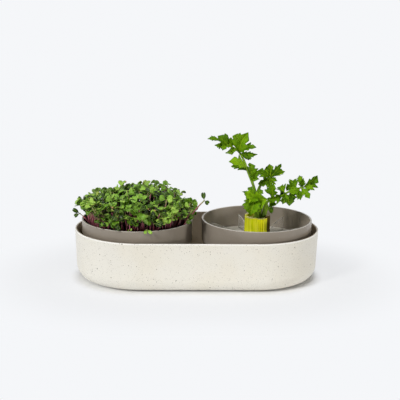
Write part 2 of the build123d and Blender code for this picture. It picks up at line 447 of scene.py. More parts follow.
@dataclass(frozen=True)
class SpeckledCream:
    """Satin cream plastic with plant-fibre specks, a painted highlight along its rim and brown painted
    shade on its inner side.
    """

    base: Colour = rgb(0.785, 0.765, 0.70)
    warm: Colour = rgb(0.775, 0.745, 0.66)
    cloud_scale: float = 24.0
    cloud_edges: Limits = (0.35, 0.7)
    dark_speck: Colour = rgb(0.17, 0.15, 0.125)
    pale_speck: Colour = rgb(0.42, 0.38, 0.31)
    speck_cells: tuple[float, ...] = (300.0, 620.0, 1250.0)
    speck_share: tuple[float, ...] = (0.13, 0.40, 0.46)
    speck_least: float = 0.09
    speck_growth: float = 0.2
    speck_edge: float = 0.05
    speck_tones: Limits = (0.35, 0.65)
    speck_amount: float = 0.84
    # Brown painted shade for the tub's deep inner side
    inside: Colour = rgb(0.47, 0.385, 0.275)
    # Painted highlight along the rim's top
    rim: Colour = rgb(0.95, 0.94, 0.90)
    rim_highlight_depth: float = 1.8 * MM
    rim_highlight_blend: float = 0.6
    rim_level: float = 62.5 * MM
    rim_reach: float = 79.5 * MM
    draft: float = tan(radians(2.2))
    edge_radius: float = 17.0 * MM
    edge_level: float = 18.5 * MM
    wall: float = 2.4 * MM
    sheen: float = 0.42
    gloss_scale: float = 160.0
    roughness: Limits = (0.36, 0.5)
    grain_scale: float = 900.0
    grain_depth: float = 0.06 * MM

    def shaded_inner_side(self, graph: NodeGraph) -> bpy.types.NodeSocket:
        """Tell the tub's inner side, which gets painted shade, from its outer one, by the distance from
        its rounded shape.

        Args:
            graph: The material's nodes.

        Returns:
            One inside the middle of the wall, none outside it.
        """
        axes = graph.axes()
        narrowing = graph.math("MULTIPLY", graph.math("SUBTRACT", self.rim_level, axes["Z"]), self.draft)
        outer = graph.math("SUBTRACT", self.rim_reach - self.edge_radius, narrowing)
        across = graph.math("MAXIMUM", graph.math("SUBTRACT", graph.tub_reach(axes), outer), 0.0)
        below = graph.math("MAXIMUM", graph.math("SUBTRACT", self.edge_level, axes["Z"]), 0.0)
        middle = self.edge_radius - self.wall / 2.0
        return graph.math("LESS_THAN", graph.length(across, below), middle)

    def specks(self, graph: NodeGraph, cells: float,
               share: float) -> tuple[bpy.types.NodeSocket, bpy.types.NodeSocket]:
        """Scattered specks of uneven size.

        Args:
            graph: The material's nodes.
            cells: Cells per metre.
            share: Share of the cells that hold a speck.

        Returns:
            One on a speck, and a random value for each speck.
        """
        cell = graph.add("TexVoronoi", {"Vector": graph.place(), "Scale": cells})
        chance = graph.add("SeparateColor", {"Color": cell.outputs["Color"]}).outputs
        growth = graph.math("MULTIPLY", chance["Green"], self.speck_growth)
        size = graph.math("ADD", growth, self.speck_least)
        edge = graph.math("SUBTRACT", size, cell.outputs["Distance"])
        there = graph.math("LESS_THAN", chance["Red"], share)
        return graph.math("MULTIPLY", graph.span(edge, 0.0, self.speck_edge), there), chance["Blue"]

    def material(self) -> bpy.types.Material:
        """Wire the finish.

        Returns:
            The material.
        """
        graph = NodeGraph("speckled_cream", Specular_IOR_Level=self.sheen)
        clouds = graph.span(graph.noise(self.cloud_scale), *self.cloud_edges)
        colour = graph.blend(clouds, self.base, self.warm)
        # Painted highlight on the rim's top band
        rim_highlight_foot = self.rim_level - self.rim_highlight_depth
        rim = graph.span(graph.axes()["Z"], rim_highlight_foot, rim_highlight_foot + self.rim_highlight_blend * self.rim_highlight_depth)
        colour = graph.blend(rim, colour, self.rim)
        # Painted shade, brown, on the inner side
        colour = graph.blend(self.shaded_inner_side(graph), colour, self.inside)
        for cells, share in zip(self.speck_cells, self.speck_share):
            speck, kind = self.specks(graph, cells, share)
            tone = graph.blend(graph.span(kind, *self.speck_tones), self.dark_speck, self.pale_speck)
            colour = graph.blend(graph.math("MULTIPLY", speck, self.speck_amount), colour, tone)
        roughness = graph.span(graph.noise(self.gloss_scale), *NOISE_EDGES, *self.roughness)
        grain = graph.noise(self.grain_scale, detail=2.0)
        return graph.finish(colour, roughness, grain, self.grain_depth)


@dataclass(frozen=True)
class TaupePlastic:
    """Satin warm-grey moulded plastic with a painted highlight along its rim."""

    name: str = "taupe_plastic"
    base: Colour = rgb(0.300, 0.262, 0.216)
    deep: Colour = rgb(0.262, 0.225, 0.182)
    cloud_scale: float = 18.0
    fleck: Colour = rgb(0.38, 0.335, 0.285)
    fleck_scale: float = 750.0
    fleck_edges: Limits = (0.66, 0.78)
    fleck_amount: float = 0.5
    # Painted highlight along the rim's top
    rim: Colour = rgb(0.60, 0.57, 0.51)
    rim_level: float = 73.6 * MM
    rim_highlight_blend: float = 0.3 * MM
    rim_highlight_amount: float = 0.85
    sheen: float = 0.5
    gloss_scale: float = 220.0
    roughness: Limits = (0.28, 0.40)
    grain_scale: float = 1100.0
    grain_depth: float = 0.05 * MM

    def material(self) -> bpy.types.Material:
        """Wire the finish.

        Returns:
            The material.
        """
        graph = NodeGraph(self.name, Specular_IOR_Level=self.sheen)
        clouds = graph.span(graph.noise(self.cloud_scale), *NOISE_EDGES)
        colour = graph.blend(clouds, self.base, self.deep)
        flecks = graph.noise(self.fleck_scale, detail=1.0)
        fleck = graph.span(flecks, *self.fleck_edges, 0.0, self.fleck_amount)
        colour = graph.blend(fleck, colour, self.fleck)
        # Painted highlight on the rim's top
        rim_highlight_top = self.rim_level + self.rim_highlight_blend
        rim = graph.span(graph.axes()["Z"], self.rim_level, rim_highlight_top, 0.0, self.rim_highlight_amount)
        colour = graph.blend(rim, colour, self.rim)
        roughness = graph.span(graph.noise(self.gloss_scale), *NOISE_EDGES, *self.roughness)
        grain = graph.noise(self.grain_scale, detail=2.0)
        return graph.finish(colour, roughness, grain, self.grain_depth)


@dataclass(frozen=True)
class ClearPlastic:
    """Thin clear moulded plastic, faintly clouded."""

    name: str
    alpha: float
    light: Colour = rgb(0.86, 0.83, 0.76)
    cloud: Colour = rgb(0.72, 0.69, 0.62)
    cloud_scale: float = 90.0
    cloud_edges: Limits = (0.35, 0.7)
    roughness: float = 0.16
    refraction: float = 1.49

    def material(self) -> bpy.types.Material:
        """Wire the finish.

        Returns:
            The material.
        """
        graph = NodeGraph(self.name, Alpha=self.alpha, Roughness=self.roughness, IOR=self.refraction)
        clouds = graph.span(graph.noise(self.cloud_scale), *self.cloud_edges)
        return graph.finish(graph.blend(clouds, self.light, self.cloud))


@dataclass(frozen=True)
class FibreMatting:
    """Brown felted plant fibre."""

    dark: Colour = rgb(0.060, 0.034, 0.016)
    light: Colour = rgb(0.27, 0.17, 0.085)
    stops: Limits = (0.42, 0.72)
    one_way: Point = (1500.0, 170.0, 500.0)
    other_way: Point = (190.0, 1400.0, 520.0)
    detail: float = 4.0
    depth: float = 0.6 * MM
    roughness: float = 0.92
    sheen: float = 0.2

    def material(self) -> bpy.types.Material:
        """Wire the finish.

        Returns:
            The material.
        """
        graph = NodeGraph("fibre_matting", Roughness=self.roughness, Specular_IOR_Level=self.sheen)
        ways = [graph.strands(way, self.detail) for way in (self.one_way, self.other_way)]
        weave = graph.math("MAXIMUM", *ways)
        colour = graph.ramp(weave, self.stops, self.dark, self.light)
        return graph.finish(colour, None, weave, self.depth)


@dataclass(frozen=True)
class SeedLeafSkin:
    """Skin of a seed leaf, paler along its veins and at its foot."""

    name: str = "seed_leaf_upper"
    deep: Colour = rgb(0.009, 0.022, 0.002)
    middle: Colour = rgb(0.088, 0.202, 0.004)
    bright: Colour = rgb(0.270, 0.520, 0.058)
    yellow: Colour = rgb(0.43, 0.63, 0.11)
    stops: tuple[float, ...] = (0.0, 0.4, 0.8, 1.0)
    mottle_scale: float = 320.0
    mottle: float = 0.5
    vein: Colour = rgb(0.30, 0.46, 0.10)
    vein_pairs: float = 3.0
    vein_slant: float = 0.7
    vein_amount: float = 0.4
    vein_depth: float = 0.12 * MM
    stalk: Colour = rgb(0.26, 0.30, 0.07)
    stalk_share: float = 0.28
    roughness: float = 0.24
    sheen: float = 0.14

    def material(self) -> bpy.types.Material:
        """Wire the finish.

        Returns:
            The material.
        """
        graph = NodeGraph(self.name, Roughness=self.roughness, Specular_IOR_Level=self.sheen)
        mottle = graph.swing(graph.noise(self.mottle_scale), self.mottle)
        shade = graph.math("ADD", graph.trait(LeafTrait.SHADE), mottle)
        colour = graph.ramp(shade, self.stops, self.deep, self.middle, self.bright, self.yellow)
        veins = graph.veins(self.vein_pairs, self.vein_slant)
        colour = graph.blend(graph.math("MULTIPLY", veins, self.vein_amount), colour, self.vein)
        foot = graph.span(graph.trait(LeafTrait.ALONG), 0.0, self.stalk_share, 1.0, 0.0)
        return graph.finish(graph.blend(foot, colour, self.stalk), None, veins, -self.vein_depth)


@dataclass(frozen=True)
class SeedStemSkin:
    """Burgundy seedling stem that pales towards its head."""

    # Foot and middle: burgundy, darkened by painted shade of the thick stand
    foot: Colour = rgb(0.022, 0.003, 0.003)
    middle: Colour = rgb(0.062, 0.008, 0.010)
    pink: Colour = rgb(0.45, 0.14, 0.18)
    head: Colour = rgb(0.33, 0.33, 0.12)
    stops: tuple[float, ...] = (0.05, 0.42, 0.72, 1.0)
    sway: float = 0.5
    streak_scale: float = 260.0
    streak: float = 0.35
    roughness: float = 0.38
    sheen: float = 0.45

    def material(self) -> bpy.types.Material:
        """Wire the finish.

        Returns:
            The material.
        """
        graph = NodeGraph("seed_stem", Roughness=self.roughness, Specular_IOR_Level=self.sheen)
        sway = graph.swing(graph.trait(LeafTrait.SHADE), self.sway)
        along = graph.math("ADD", graph.trait(LeafTrait.ALONG), sway)
        along = graph.math("ADD", along, graph.swing(graph.noise(self.streak_scale), self.streak))
        return graph.finish(graph.ramp(along, self.stops, self.foot, self.middle, self.pink, self.head))


@dataclass(frozen=True)
class SeedCoat:
    """Dry tan seed coat."""

    dark: Colour = rgb(0.24, 0.12, 0.03)
    light: Colour = rgb(0.62, 0.44, 0.12)
    stops: Limits = (0.3, 0.6)
    spot_scale: float = 900.0
    spot_depth: float = 0.2 * MM
    roughness: float = 0.6

    def material(self) -> bpy.types.Material:
        """Wire the finish.

        Returns:
            The material.
        """
        graph = NodeGraph("seed_coat", Roughness=self.roughness)
        spots = graph.noise(self.spot_scale)
        colour = graph.ramp(spots, self.stops, self.dark, self.light)
        return graph.finish(colour, None, spots, self.spot_depth)


@dataclass(frozen=True)
class CeleryLeafSkin:
    """Veined skin of a celery leaf, with painted shade along its edge."""

    name: str = "celery_leaf_upper"
    deep: Colour = rgb(0.026, 0.074, 0.003)
    middle: Colour = rgb(0.098, 0.232, 0.004)
    bright: Colour = rgb(0.235, 0.440, 0.008)
    stops: tuple[float, ...] = (0.0, 0.5, 1.0)
    mottle_scale: float = 240.0
    mottle: float = 0.8
    vein: Colour = rgb(0.29, 0.45, 0.012)
    vein_pairs: float = 6.0
    vein_slant: float = 1.5
    vein_amount: float = 0.5
    vein_depth: float = 0.3 * MM
    # Painted shade along the leaflet's edge
    edge: Limits = (0.8, 1.0)
    painted_edge_shade: float = 0.45
    roughness: float = 0.42
    sheen: float = 0.06

    def material(self) -> bpy.types.Material:
        """Wire the finish.

        Returns:
            The material.
        """
        graph = NodeGraph(self.name, Roughness=self.roughness, Specular_IOR_Level=self.sheen)
        mottle = graph.swing(graph.noise(self.mottle_scale), self.mottle)
        shade = graph.math("ADD", graph.trait(LeafTrait.SHADE), mottle)
        colour = graph.ramp(shade, self.stops, self.deep, self.middle, self.bright)
        veins = graph.veins(self.vein_pairs, self.vein_slant)
        colour = graph.blend(graph.math("MULTIPLY", veins, self.vein_amount), colour, self.vein)
        # Painted shade towards the leaflet's edge
        across = graph.math("ABSOLUTE", graph.trait(LeafTrait.ACROSS))
        edge = graph.span(across, *self.edge, 0.0, self.painted_edge_shade)
        return graph.finish(graph.blend(edge, colour, self.deep), None, veins, -self.vein_depth)


@dataclass(frozen=True)
class CeleryStalkSkin:
    """Ribbed green stalk, yellow at its root."""

    root: Colour = rgb(0.30, 0.34, 0.02)
    low: Colour = rgb(0.060, 0.115, 0.005)
    high: Colour = rgb(0.230, 0.40, 0.016)
    stops: tuple[float, ...] = (0.0, 0.16, 0.6)
    strand: Colour = rgb(0.33, 0.46, 0.06)
    strand_scale: Point = (900.0, 900.0, 60.0)
    strand_edges: Limits = (0.5, 0.68)
    strand_amount: float = 0.5
    strand_depth: float = 0.4 * MM
    roughness: float = 0.4
    sheen: float = 0.25

    def material(self) -> bpy.types.Material:
        """Wire the finish.

        Returns:
            The material.
        """
        graph = NodeGraph("celery_stalk", Roughness=self.roughness, Specular_IOR_Level=self.sheen)
        colour = graph.ramp(graph.trait(LeafTrait.ALONG), self.stops, self.root, self.low, self.high)
        strands = graph.strands(self.strand_scale, detail=2.0)
        strand = graph.span(strands, *self.strand_edges, 0.0, self.strand_amount)
        return graph.finish(graph.blend(strand, colour, self.strand), None, strands, self.strand_depth)


@dataclass(frozen=True)
class CeleryFlesh:
    """Ribbed outside of a celery end: yellow-green, browned where it has dried."""

    yellow: Colour = rgb(0.83, 0.81, 0.010)
    green: Colour = rgb(0.61, 0.69, 0.004)
    patch_scale: Point = (95.0, 95.0, 34.0)
    patch_edges: Limits = (0.36, 0.62)
    pale: Colour = rgb(0.92, 0.90, 0.075)
    strand_scale: Point = (620.0, 620.0, 26.0)
    strand_edges: Limits = (0.47, 0.64)
    strand_amount: float = 0.8
    strand_depth: float = 0.6 * MM
    dry: Colour = rgb(0.055, 0.030, 0.009)
    dry_edges: Limits = (0.45, 0.75)
    dry_amount: float = 0.95
    roughness: float = 0.42
    sheen: float = 0.1

    def material(self) -> bpy.types.Material:
        """Wire the finish.

        Returns:
            The material.
        """
        graph = NodeGraph("celery_flesh", Roughness=self.roughness, Specular_IOR_Level=self.sheen)
        strands = graph.strands(self.strand_scale, detail=3.0)
        patches = graph.strands(self.patch_scale, detail=2.0)
        colour = graph.blend(graph.span(patches, *self.patch_edges), self.yellow, self.green)
        strand = graph.span(strands, *self.strand_edges, 0.0, self.strand_amount)
        colour = graph.blend(strand, colour, self.pale)
        dryness = graph.math("ADD", graph.trait(LeafTrait.SHADE), graph.swing(patches, 1.0))
        dried = graph.span(dryness, *self.dry_edges, 0.0, self.dry_amount)
        return graph.finish(graph.blend(dried, colour, self.dry), None, strands, self.strand_depth)


@dataclass(frozen=True)
class CeleryCut:
    """Pale cut face of a celery sheath, dotted with strands and browned where it has dried."""

    base: Colour = rgb(0.80, 0.74, 0.26)
    strand: Colour = rgb(0.48, 0.47, 0.06)
    strand_cells: float = 520.0
    strand_edges: Limits = (0.18, 0.3)
    strand_amount: float = 0.7
    strand_depth: float = 0.2 * MM
    brown: Colour = rgb(0.17, 0.085, 0.022)
    patch_scale: float = 170.0
    dry_weight: float = 0.3
    dry_edges: Limits = (0.54, 0.74)
    dry_amount: float = 0.9
    roughness: float = 0.5
    sheen: float = 0.15

    def material(self) -> bpy.types.Material:
        """Wire the finish.

        Returns:
            The material.
        """
        graph = NodeGraph("celery_cut", Roughness=self.roughness, Specular_IOR_Level=self.sheen)
        cell = graph.add("TexVoronoi", {"Vector": graph.place(), "Scale": self.strand_cells})
        dots = graph.span(cell.outputs["Distance"], *self.strand_edges, self.strand_amount, 0.0)
        colour = graph.blend(dots, self.base, self.strand)
        dryness = graph.math("MULTIPLY", graph.trait(LeafTrait.SHADE), self.dry_weight)
        dryness = graph.math("ADD", graph.noise(self.patch_scale), dryness)
        dried = graph.span(dryness, *self.dry_edges, 0.0, self.dry_amount)
        return graph.finish(graph.blend(dried, colour, self.brown), None, dots, self.strand_depth)


@dataclass(frozen=True)
class StudioFloor:
    """Pale matt floor that keeps the shadow near the tub and fades to a white background."""

    colour: Colour = rgb(0.945, 0.955, 0.970)
    far: Colour = rgb(0.915, 0.927, 0.948)
    shadow_reach: Limits = (72.0 * MM, 88.0 * MM)
    fade_reach: Limits = (90.0 * MM, 220.0 * MM)
    near_share: float = 0.74
    roughness: float = 0.9
    sheen: float = 0.1

    def material(self) -> bpy.types.Material:
        """Wire the finish.

        Returns:
            The material.
        """
        graph = NodeGraph("studio_floor", Roughness=self.roughness, Specular_IOR_Level=self.sheen)
        material = graph.finish(self.colour)
        glow = graph.add("Emission", {"Color": self.far, "Strength": 1.0})
        reach = graph.tub_reach(graph.axes())
        near = graph.span(reach, *self.shadow_reach, 0.0, self.near_share)
        far = graph.span(reach, *self.fade_reach, 0.0, 1.0 - self.near_share)
        share = graph.math("MULTIPLY", graph.math("ADD", near, far), graph.seen())
        inputs = {0: share, 1: graph.shader.outputs["BSDF"], 2: glow.outputs["Emission"]}
        mix = graph.add("MixShader", inputs)
        graph.feed(graph.tree.nodes["Material Output"].inputs["Surface"], mix.outputs["Shader"])
        return material


@dataclass(frozen=True)
class PhotoCamera:
    """Camera at the photograph's viewing angle."""

    focal_px: float = 1047.4
    image_px: float = 400.0
    sensor_mm: float = 36.0
    distance: float = 1288.3 * MM
    elevation: float = radians(13.33)
    yaw: float = radians(2.26)
    roll: float = radians(0.82)
    aim: Point = (3.24 * MM, 0.0, 96.73 * MM)

    def build(self) -> None:
        """Make the camera and use it."""
        data = bpy.data.cameras.new("photo_camera")
        data.sensor_width = self.sensor_mm
        data.lens = self.focal_px / self.image_px * self.sensor_mm
        camera = bpy.data.objects.new("photo_camera", data)
        bpy.context.scene.collection.objects.link(camera)
        ahead = Vector((0.0, cos(self.elevation), -sin(self.elevation)))
        level = Vector((1.0, 0.0, 0.0))
        upright = level.cross(ahead)
        right = level * cos(self.roll) + upright * sin(self.roll)
        top = upright * cos(self.roll) - level * sin(self.roll)
        axes = Matrix((right, top, -ahead)).transposed().to_4x4()
        stand = Matrix.Translation(Vector(self.aim) - ahead * self.distance)
        camera.matrix_world = Matrix.Rotation(-self.yaw, 4, "Z") @ stand @ axes
        bpy.context.scene.camera = camera


@dataclass(frozen=True)
class Softbox:
    """One large soft lamp, far enough away to light everything evenly, with its angles in degrees."""

    name: str
    turn: float
    height: float
    strength: float
    spread: float
    colour: Point = (1.0, 0.985, 0.96)

    def build(self) -> None:
        """Hang the lamp, turned from the front towards the left."""
        turn = radians(self.turn)
        height = radians(self.height)
        towards = Vector((-sin(turn) * cos(height), -cos(turn) * cos(height), sin(height)))
        bpy.ops.object.light_add(type="SUN", location=towards)
        lamp = bpy.context.object
        lamp.name = self.name
        lamp.rotation_euler = towards.to_track_quat("Z", "Y").to_euler()
        lamp.data.energy = self.strength
        lamp.data.angle = radians(self.spread)
        lamp.data.color = self.colour


@dataclass(frozen=True)
class Studio:
    """Pale floor, weak light all round, a key lamp at the left, two above and a low one at each side."""

    floor_size: float = 60.0
    sky: Colour = rgb(0.97, 0.985, 1.0)
    sky_strength: float = 0.10
    lamps: tuple[Softbox, ...] = (
        Softbox("key_lamp", 45.0, 30.0, 1.52, 10.0),
        Softbox("front_lamp", 10.0, 50.0, 0.45, 9.0),
        Softbox("top_lamp", -25.0, 74.0, 0.48, 30.0),
        Softbox("left_lamp", 64.0, 4.0, 0.55, 8.0, (0.98, 0.99, 1.0)),
        Softbox("right_lamp", -64.0, 4.0, 1.10, 8.0, (1.0, 0.965, 0.91)),
    )

    def build(self) -> None:
        """Make the floor, the lamps and the sky."""
        bpy.context.scene.view_settings.view_transform = "Standard"
        clear_selection()
        bpy.ops.mesh.primitive_plane_add(size=self.floor_size)
        floor = bpy.context.object
        floor.name = "studio_floor"
        coat(floor, StudioFloor().material())
        for lamp in self.lamps:
            lamp.build()
        self.light_sky()

    def light_sky(self) -> None:
        """Even light from all round, seen as white by the camera."""
        world = bpy.data.worlds.new("studio_sky")
        world.use_nodes = True
        bpy.context.scene.world = world
        wiring = Wiring(world.node_tree)
        sky = world.node_tree.nodes["Background"]
        wiring.feed(sky.inputs["Color"], self.sky)
        wiring.feed(sky.inputs["Strength"], wiring.span(wiring.seen(), 0.0, 1.0, self.sky_strength, 1.0))


@dataclass(frozen=True)
class LeafPattern:
    """A flat leaf, one unit long and one wide, shaped row by row from a grid.

    A row has its place along the leaf and its share of the leaf's width.
    """

    name: str
    rows: tuple[LeafRow, ...]
    columns: int
    rake: float = 0.0
    notch: float = 0.0
    midrib: float = 0.01

    def model(self) -> bpy.types.Mesh:
        """Shape the leaf.

        Returns:
            Its mesh, which carries the values along and across it.
        """
        last = len(self.rows) - 1
        clear_selection()
        bpy.ops.mesh.primitive_grid_add(x_subdivisions=last, y_subdivisions=self.columns, size=1.0)
        leaf = bpy.context.object
        row_of = {vert.index: round((vert.co.x + 0.5) * last) for vert in leaf.data.vertices}
        across = [vert.co.y * 2.0 for vert in leaf.data.vertices]
        with editing(leaf):
            for index, (place, width) in enumerate(self.rows):
                pick(leaf, lambda vert: row_of[vert.index] == index)
                bpy.ops.transform.resize(value=(1.0, width, 1.0), center_override=(0.0, 0.0, 0.0))
                bpy.ops.transform.translate(value=(place - index / last + 0.5, 0.0, 0.0))
            pick(leaf, lambda vert: row_of[vert.index] == last and abs(vert.co.y) < self.midrib)
            bpy.ops.transform.translate(value=(-self.notch, 0.0, 0.0))
        mesh = leaf.data
        for vert in mesh.vertices:
            vert.co.x += self.rake * abs(vert.co.y)
        carry(mesh, LeafTrait.ALONG, [vert.co.x for vert in mesh.vertices])
        carry(mesh, LeafTrait.ACROSS, across)
        mesh.name = self.name
        bpy.data.objects.remove(leaf)
        return mesh


@dataclass(frozen=True)
class LeafPose:
    """Where one leaf grows, and how it curls."""

    root: Vector
    tip: Vector
    face: Vector
    width: float
    arch: float = 0.0
    fold: float = 0.0
    curl: float = 0.0
    wave: float = 0.0
    bow: float = 0.0
    wave_rate: float = 11.0
    wave_shift: float = 3.0

    def placed(self, point: Vector) -> Vector:
        """Where a point of the flat leaf comes to lie.

        Args:
            point: Share along the leaf, and share of its width across.

        Returns:
            The place in the row frame.
        """
        run = self.tip - self.root
        length = run.length
        along = run / length
        side = self.face.cross(along).normalized()
        face = along.cross(side)
        out = abs(point.y)
        rise = self.arch * length * point.x * (1.0 - point.x)
        rise += self.fold * self.width * out - self.curl * self.width * out * out * 2.0
        phase = point.x * self.wave_rate + (self.wave_shift if point.y > 0.0 else 0.0)
        rise += self.wave * self.width * out * sin(phase)
        aside = point.y * self.width + self.bow * length * point.x * (1.0 - point.x)
        return self.root + run * point.x + side * aside + face * rise


class Bundle:
    """Copies of modelled shapes, gathered in one mesh."""

    def __init__(self) -> None:
        """Start with an empty mesh."""
        self.shape = bmesh.new()
        for trait in LeafTrait:
            self.shape.verts.layers.float.new(trait.value)

    def add(self, pattern: bpy.types.Mesh, placed: Callable[[Vector], Vector], shade: float) -> None:
        """Add one copy.

        Args:
            pattern: The shape to copy.
            placed: Where each of its points goes.
            shade: The copy's own shade.
        """
        first = len(self.shape.verts)
        self.shape.from_mesh(pattern)
        self.shape.verts.ensure_lookup_table()
        layer = self.shape.verts.layers.float[LeafTrait.SHADE.value]
        for vert in self.shape.verts[first:]:
            vert.co = placed(vert.co)
            vert[layer] = shade

    def build(self, name: str, *materials: bpy.types.Material) -> bpy.types.Object:
        """Make the gathered copies one object.

        Args:
            name: Name of the piece.
            *materials: Its materials.

        Returns:
            The object, smoothly shaded.
        """
        mesh = bpy.data.meshes.new(name)
        self.shape.to_mesh(mesh)
        self.shape.free()
        obj = bpy.data.objects.new(name, mesh)
        bpy.context.scene.collection.objects.link(obj)
        coat(obj, *materials)
        take(obj)
        bpy.ops.object.shade_smooth()
        return obj


@dataclass(frozen=True)
class TubePattern:
    """A straight round stem, one unit tall, cut into short runs that can bend."""

    name: str
    sides: int
    runs: int
    upright_rise: float = 0.5

    def model(self) -> bpy.types.Mesh:
        """Shape the stem.

        Returns:
            Its mesh, one unit thick, which carries the value along it.
        """
        clear_selection()
        bpy.ops.mesh.primitive_cylinder_add(vertices=self.sides, radius=1.0, depth=1.0, location=UP / 2.0)
        tube = bpy.context.object
        bpy.ops.object.transform_apply(location=True)
        with editing(tube):
            bpy.ops.mesh.select_all(action="DESELECT")
            shape = bmesh.from_edit_mesh(tube.data)
            for edge in shape.edges:
                edge.select = abs(edge.verts[0].co.z - edge.verts[1].co.z) > self.upright_rise
            bmesh.update_edit_mesh(tube.data)
            bpy.ops.mesh.subdivide(number_cuts=self.runs - 1)
        mesh = tube.data
        carry(mesh, LeafTrait.ALONG, [vert.co.z for vert in mesh.vertices])
        mesh.name = self.name
        bpy.data.objects.remove(tube)
        return mesh


@dataclass(frozen=True)
class StemPose:
    """A bent stem from foot to head."""

    foot: Vector
    bend: Vector
    head: Vector
    radius: float
    taper: float = 0.8

    def placed(self, point: Vector) -> Vector:
        """Where a point of the straight stem comes to lie.

        Args:
            point: Share along the stem as height, and share of its radius across.

        Returns:
            The place in the row frame.
        """
        share = point.z
        rest = 1.0 - share
        middle = self.foot * rest * rest + self.bend * 2.0 * share * rest + self.head * share * share
        way = ((self.bend - self.foot) * rest + (self.head - self.bend) * share).normalized()
        side = way.orthogonal().normalized()
        radius = self.radius * (1.0 + (self.taper - 1.0) * share)
        return middle + (side * point.x + way.cross(side) * point.y) * radius


@dataclass(frozen=True)
class GrowingMat:
    """Felted mat that the seedlings root in, with loose fibres at its edge and on its top."""

    node: str = "growing_mat"
    seed: int = 7
    roughness: float = 1.4 * MM
    wobble: float = 0.6
    sides: int = 96
    cuts: int = 3
    fibre: TubePattern = TubePattern("fibre", sides=3, runs=3)
    fibre_count: int = 520
    fibre_radius: float = 0.16 * MM
    fibre_length: float = 11.0 * MM
    fibre_inset: float = 1.0 * MM
    fibre_spread: float = 0.97
    fibre_bend: float = 0.6
    fibre_bulge: float = 1.2 * MM

    def build(self) -> None:
        """Make the mat in the node's place."""
        chance = random.Random(self.seed)
        low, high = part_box(self.node)
        middle = (low + high) / 2.0
        radius = (high.x - low.x) / 2.0
        clear_selection()
        bpy.ops.mesh.primitive_cylinder_add(
            vertices=self.sides, radius=radius - self.roughness, depth=high.z - low.z, location=middle,
            end_fill_type="TRIFAN")
        mat = bpy.context.object
        bpy.ops.object.transform_apply(location=True)
        with editing(mat):
            bpy.ops.mesh.select_all(action="SELECT")
            bpy.ops.mesh.subdivide(number_cuts=self.cuts)
        for vert in mat.data.vertices:
            rim = Vector((vert.co.x - middle.x, vert.co.y - middle.y, 0.0))
            if rim.length > radius - 2.0 * self.roughness:
                vert.co += rim.normalized() * chance.uniform(-1.0, 1.0) * self.roughness * self.wobble
        bpy.ops.object.shade_smooth()
        material = FibreMatting().material()
        coat(mat, material)
        fibres = self.fibres(low, high, chance).build("mat_fibres", material)
        seat(join([mat, fibres], "fibre_mat"), Body.GREENS, Slot.FIBRE, self.node)

    def fibres(self, low: Vector, high: Vector, chance: random.Random) -> Bundle:
        """Loose fibres, by turns at the mat's edge and on its top.

        Args:
            low: Lowest corner of the mat's place.
            high: Highest corner.
            chance: Source of their places.

        Returns:
            The gathered fibres.
        """
        middle = (low + high) / 2.0
        radius = (high.x - low.x) / 2.0
        thread = self.fibre.model()
        bundle = Bundle()
        for index in range(self.fibre_count):
            out = spoke(chance.uniform(0.0, 2.0 * pi))
            if index % 2 == 0:
                reach = radius - self.roughness
                height = chance.uniform(low.z + self.fibre_inset, high.z - self.fibre_inset)
                bulge = out * self.fibre_bulge
            else:
                reach = radius * sqrt(chance.random()) * self.fibre_spread
                height = high.z
                bulge = (out + UP) * self.fibre_bulge
            foot = Vector((middle.x, middle.y, height)) + out * (reach - self.fibre_inset)
            around = UP.cross(out) * chance.uniform(-1.0, 1.0) * self.fibre_length
            bend = foot + around * self.fibre_bend + bulge
            pose = StemPose(foot, bend, foot + around, self.fibre_radius)
            bundle.add(thread, pose.placed, chance.random())
        return bundle


@dataclass(frozen=True)
class StraySeedling:
    """A seedling that leans out over the rim, in millimetres from the pot's axis and the top of the roots.

    The tips of its two leaves are measured from its head.
    """

    foot: Point
    bend: Point
    head: Point
    tips: tuple[Point, Point]
    width: float
    shade: float


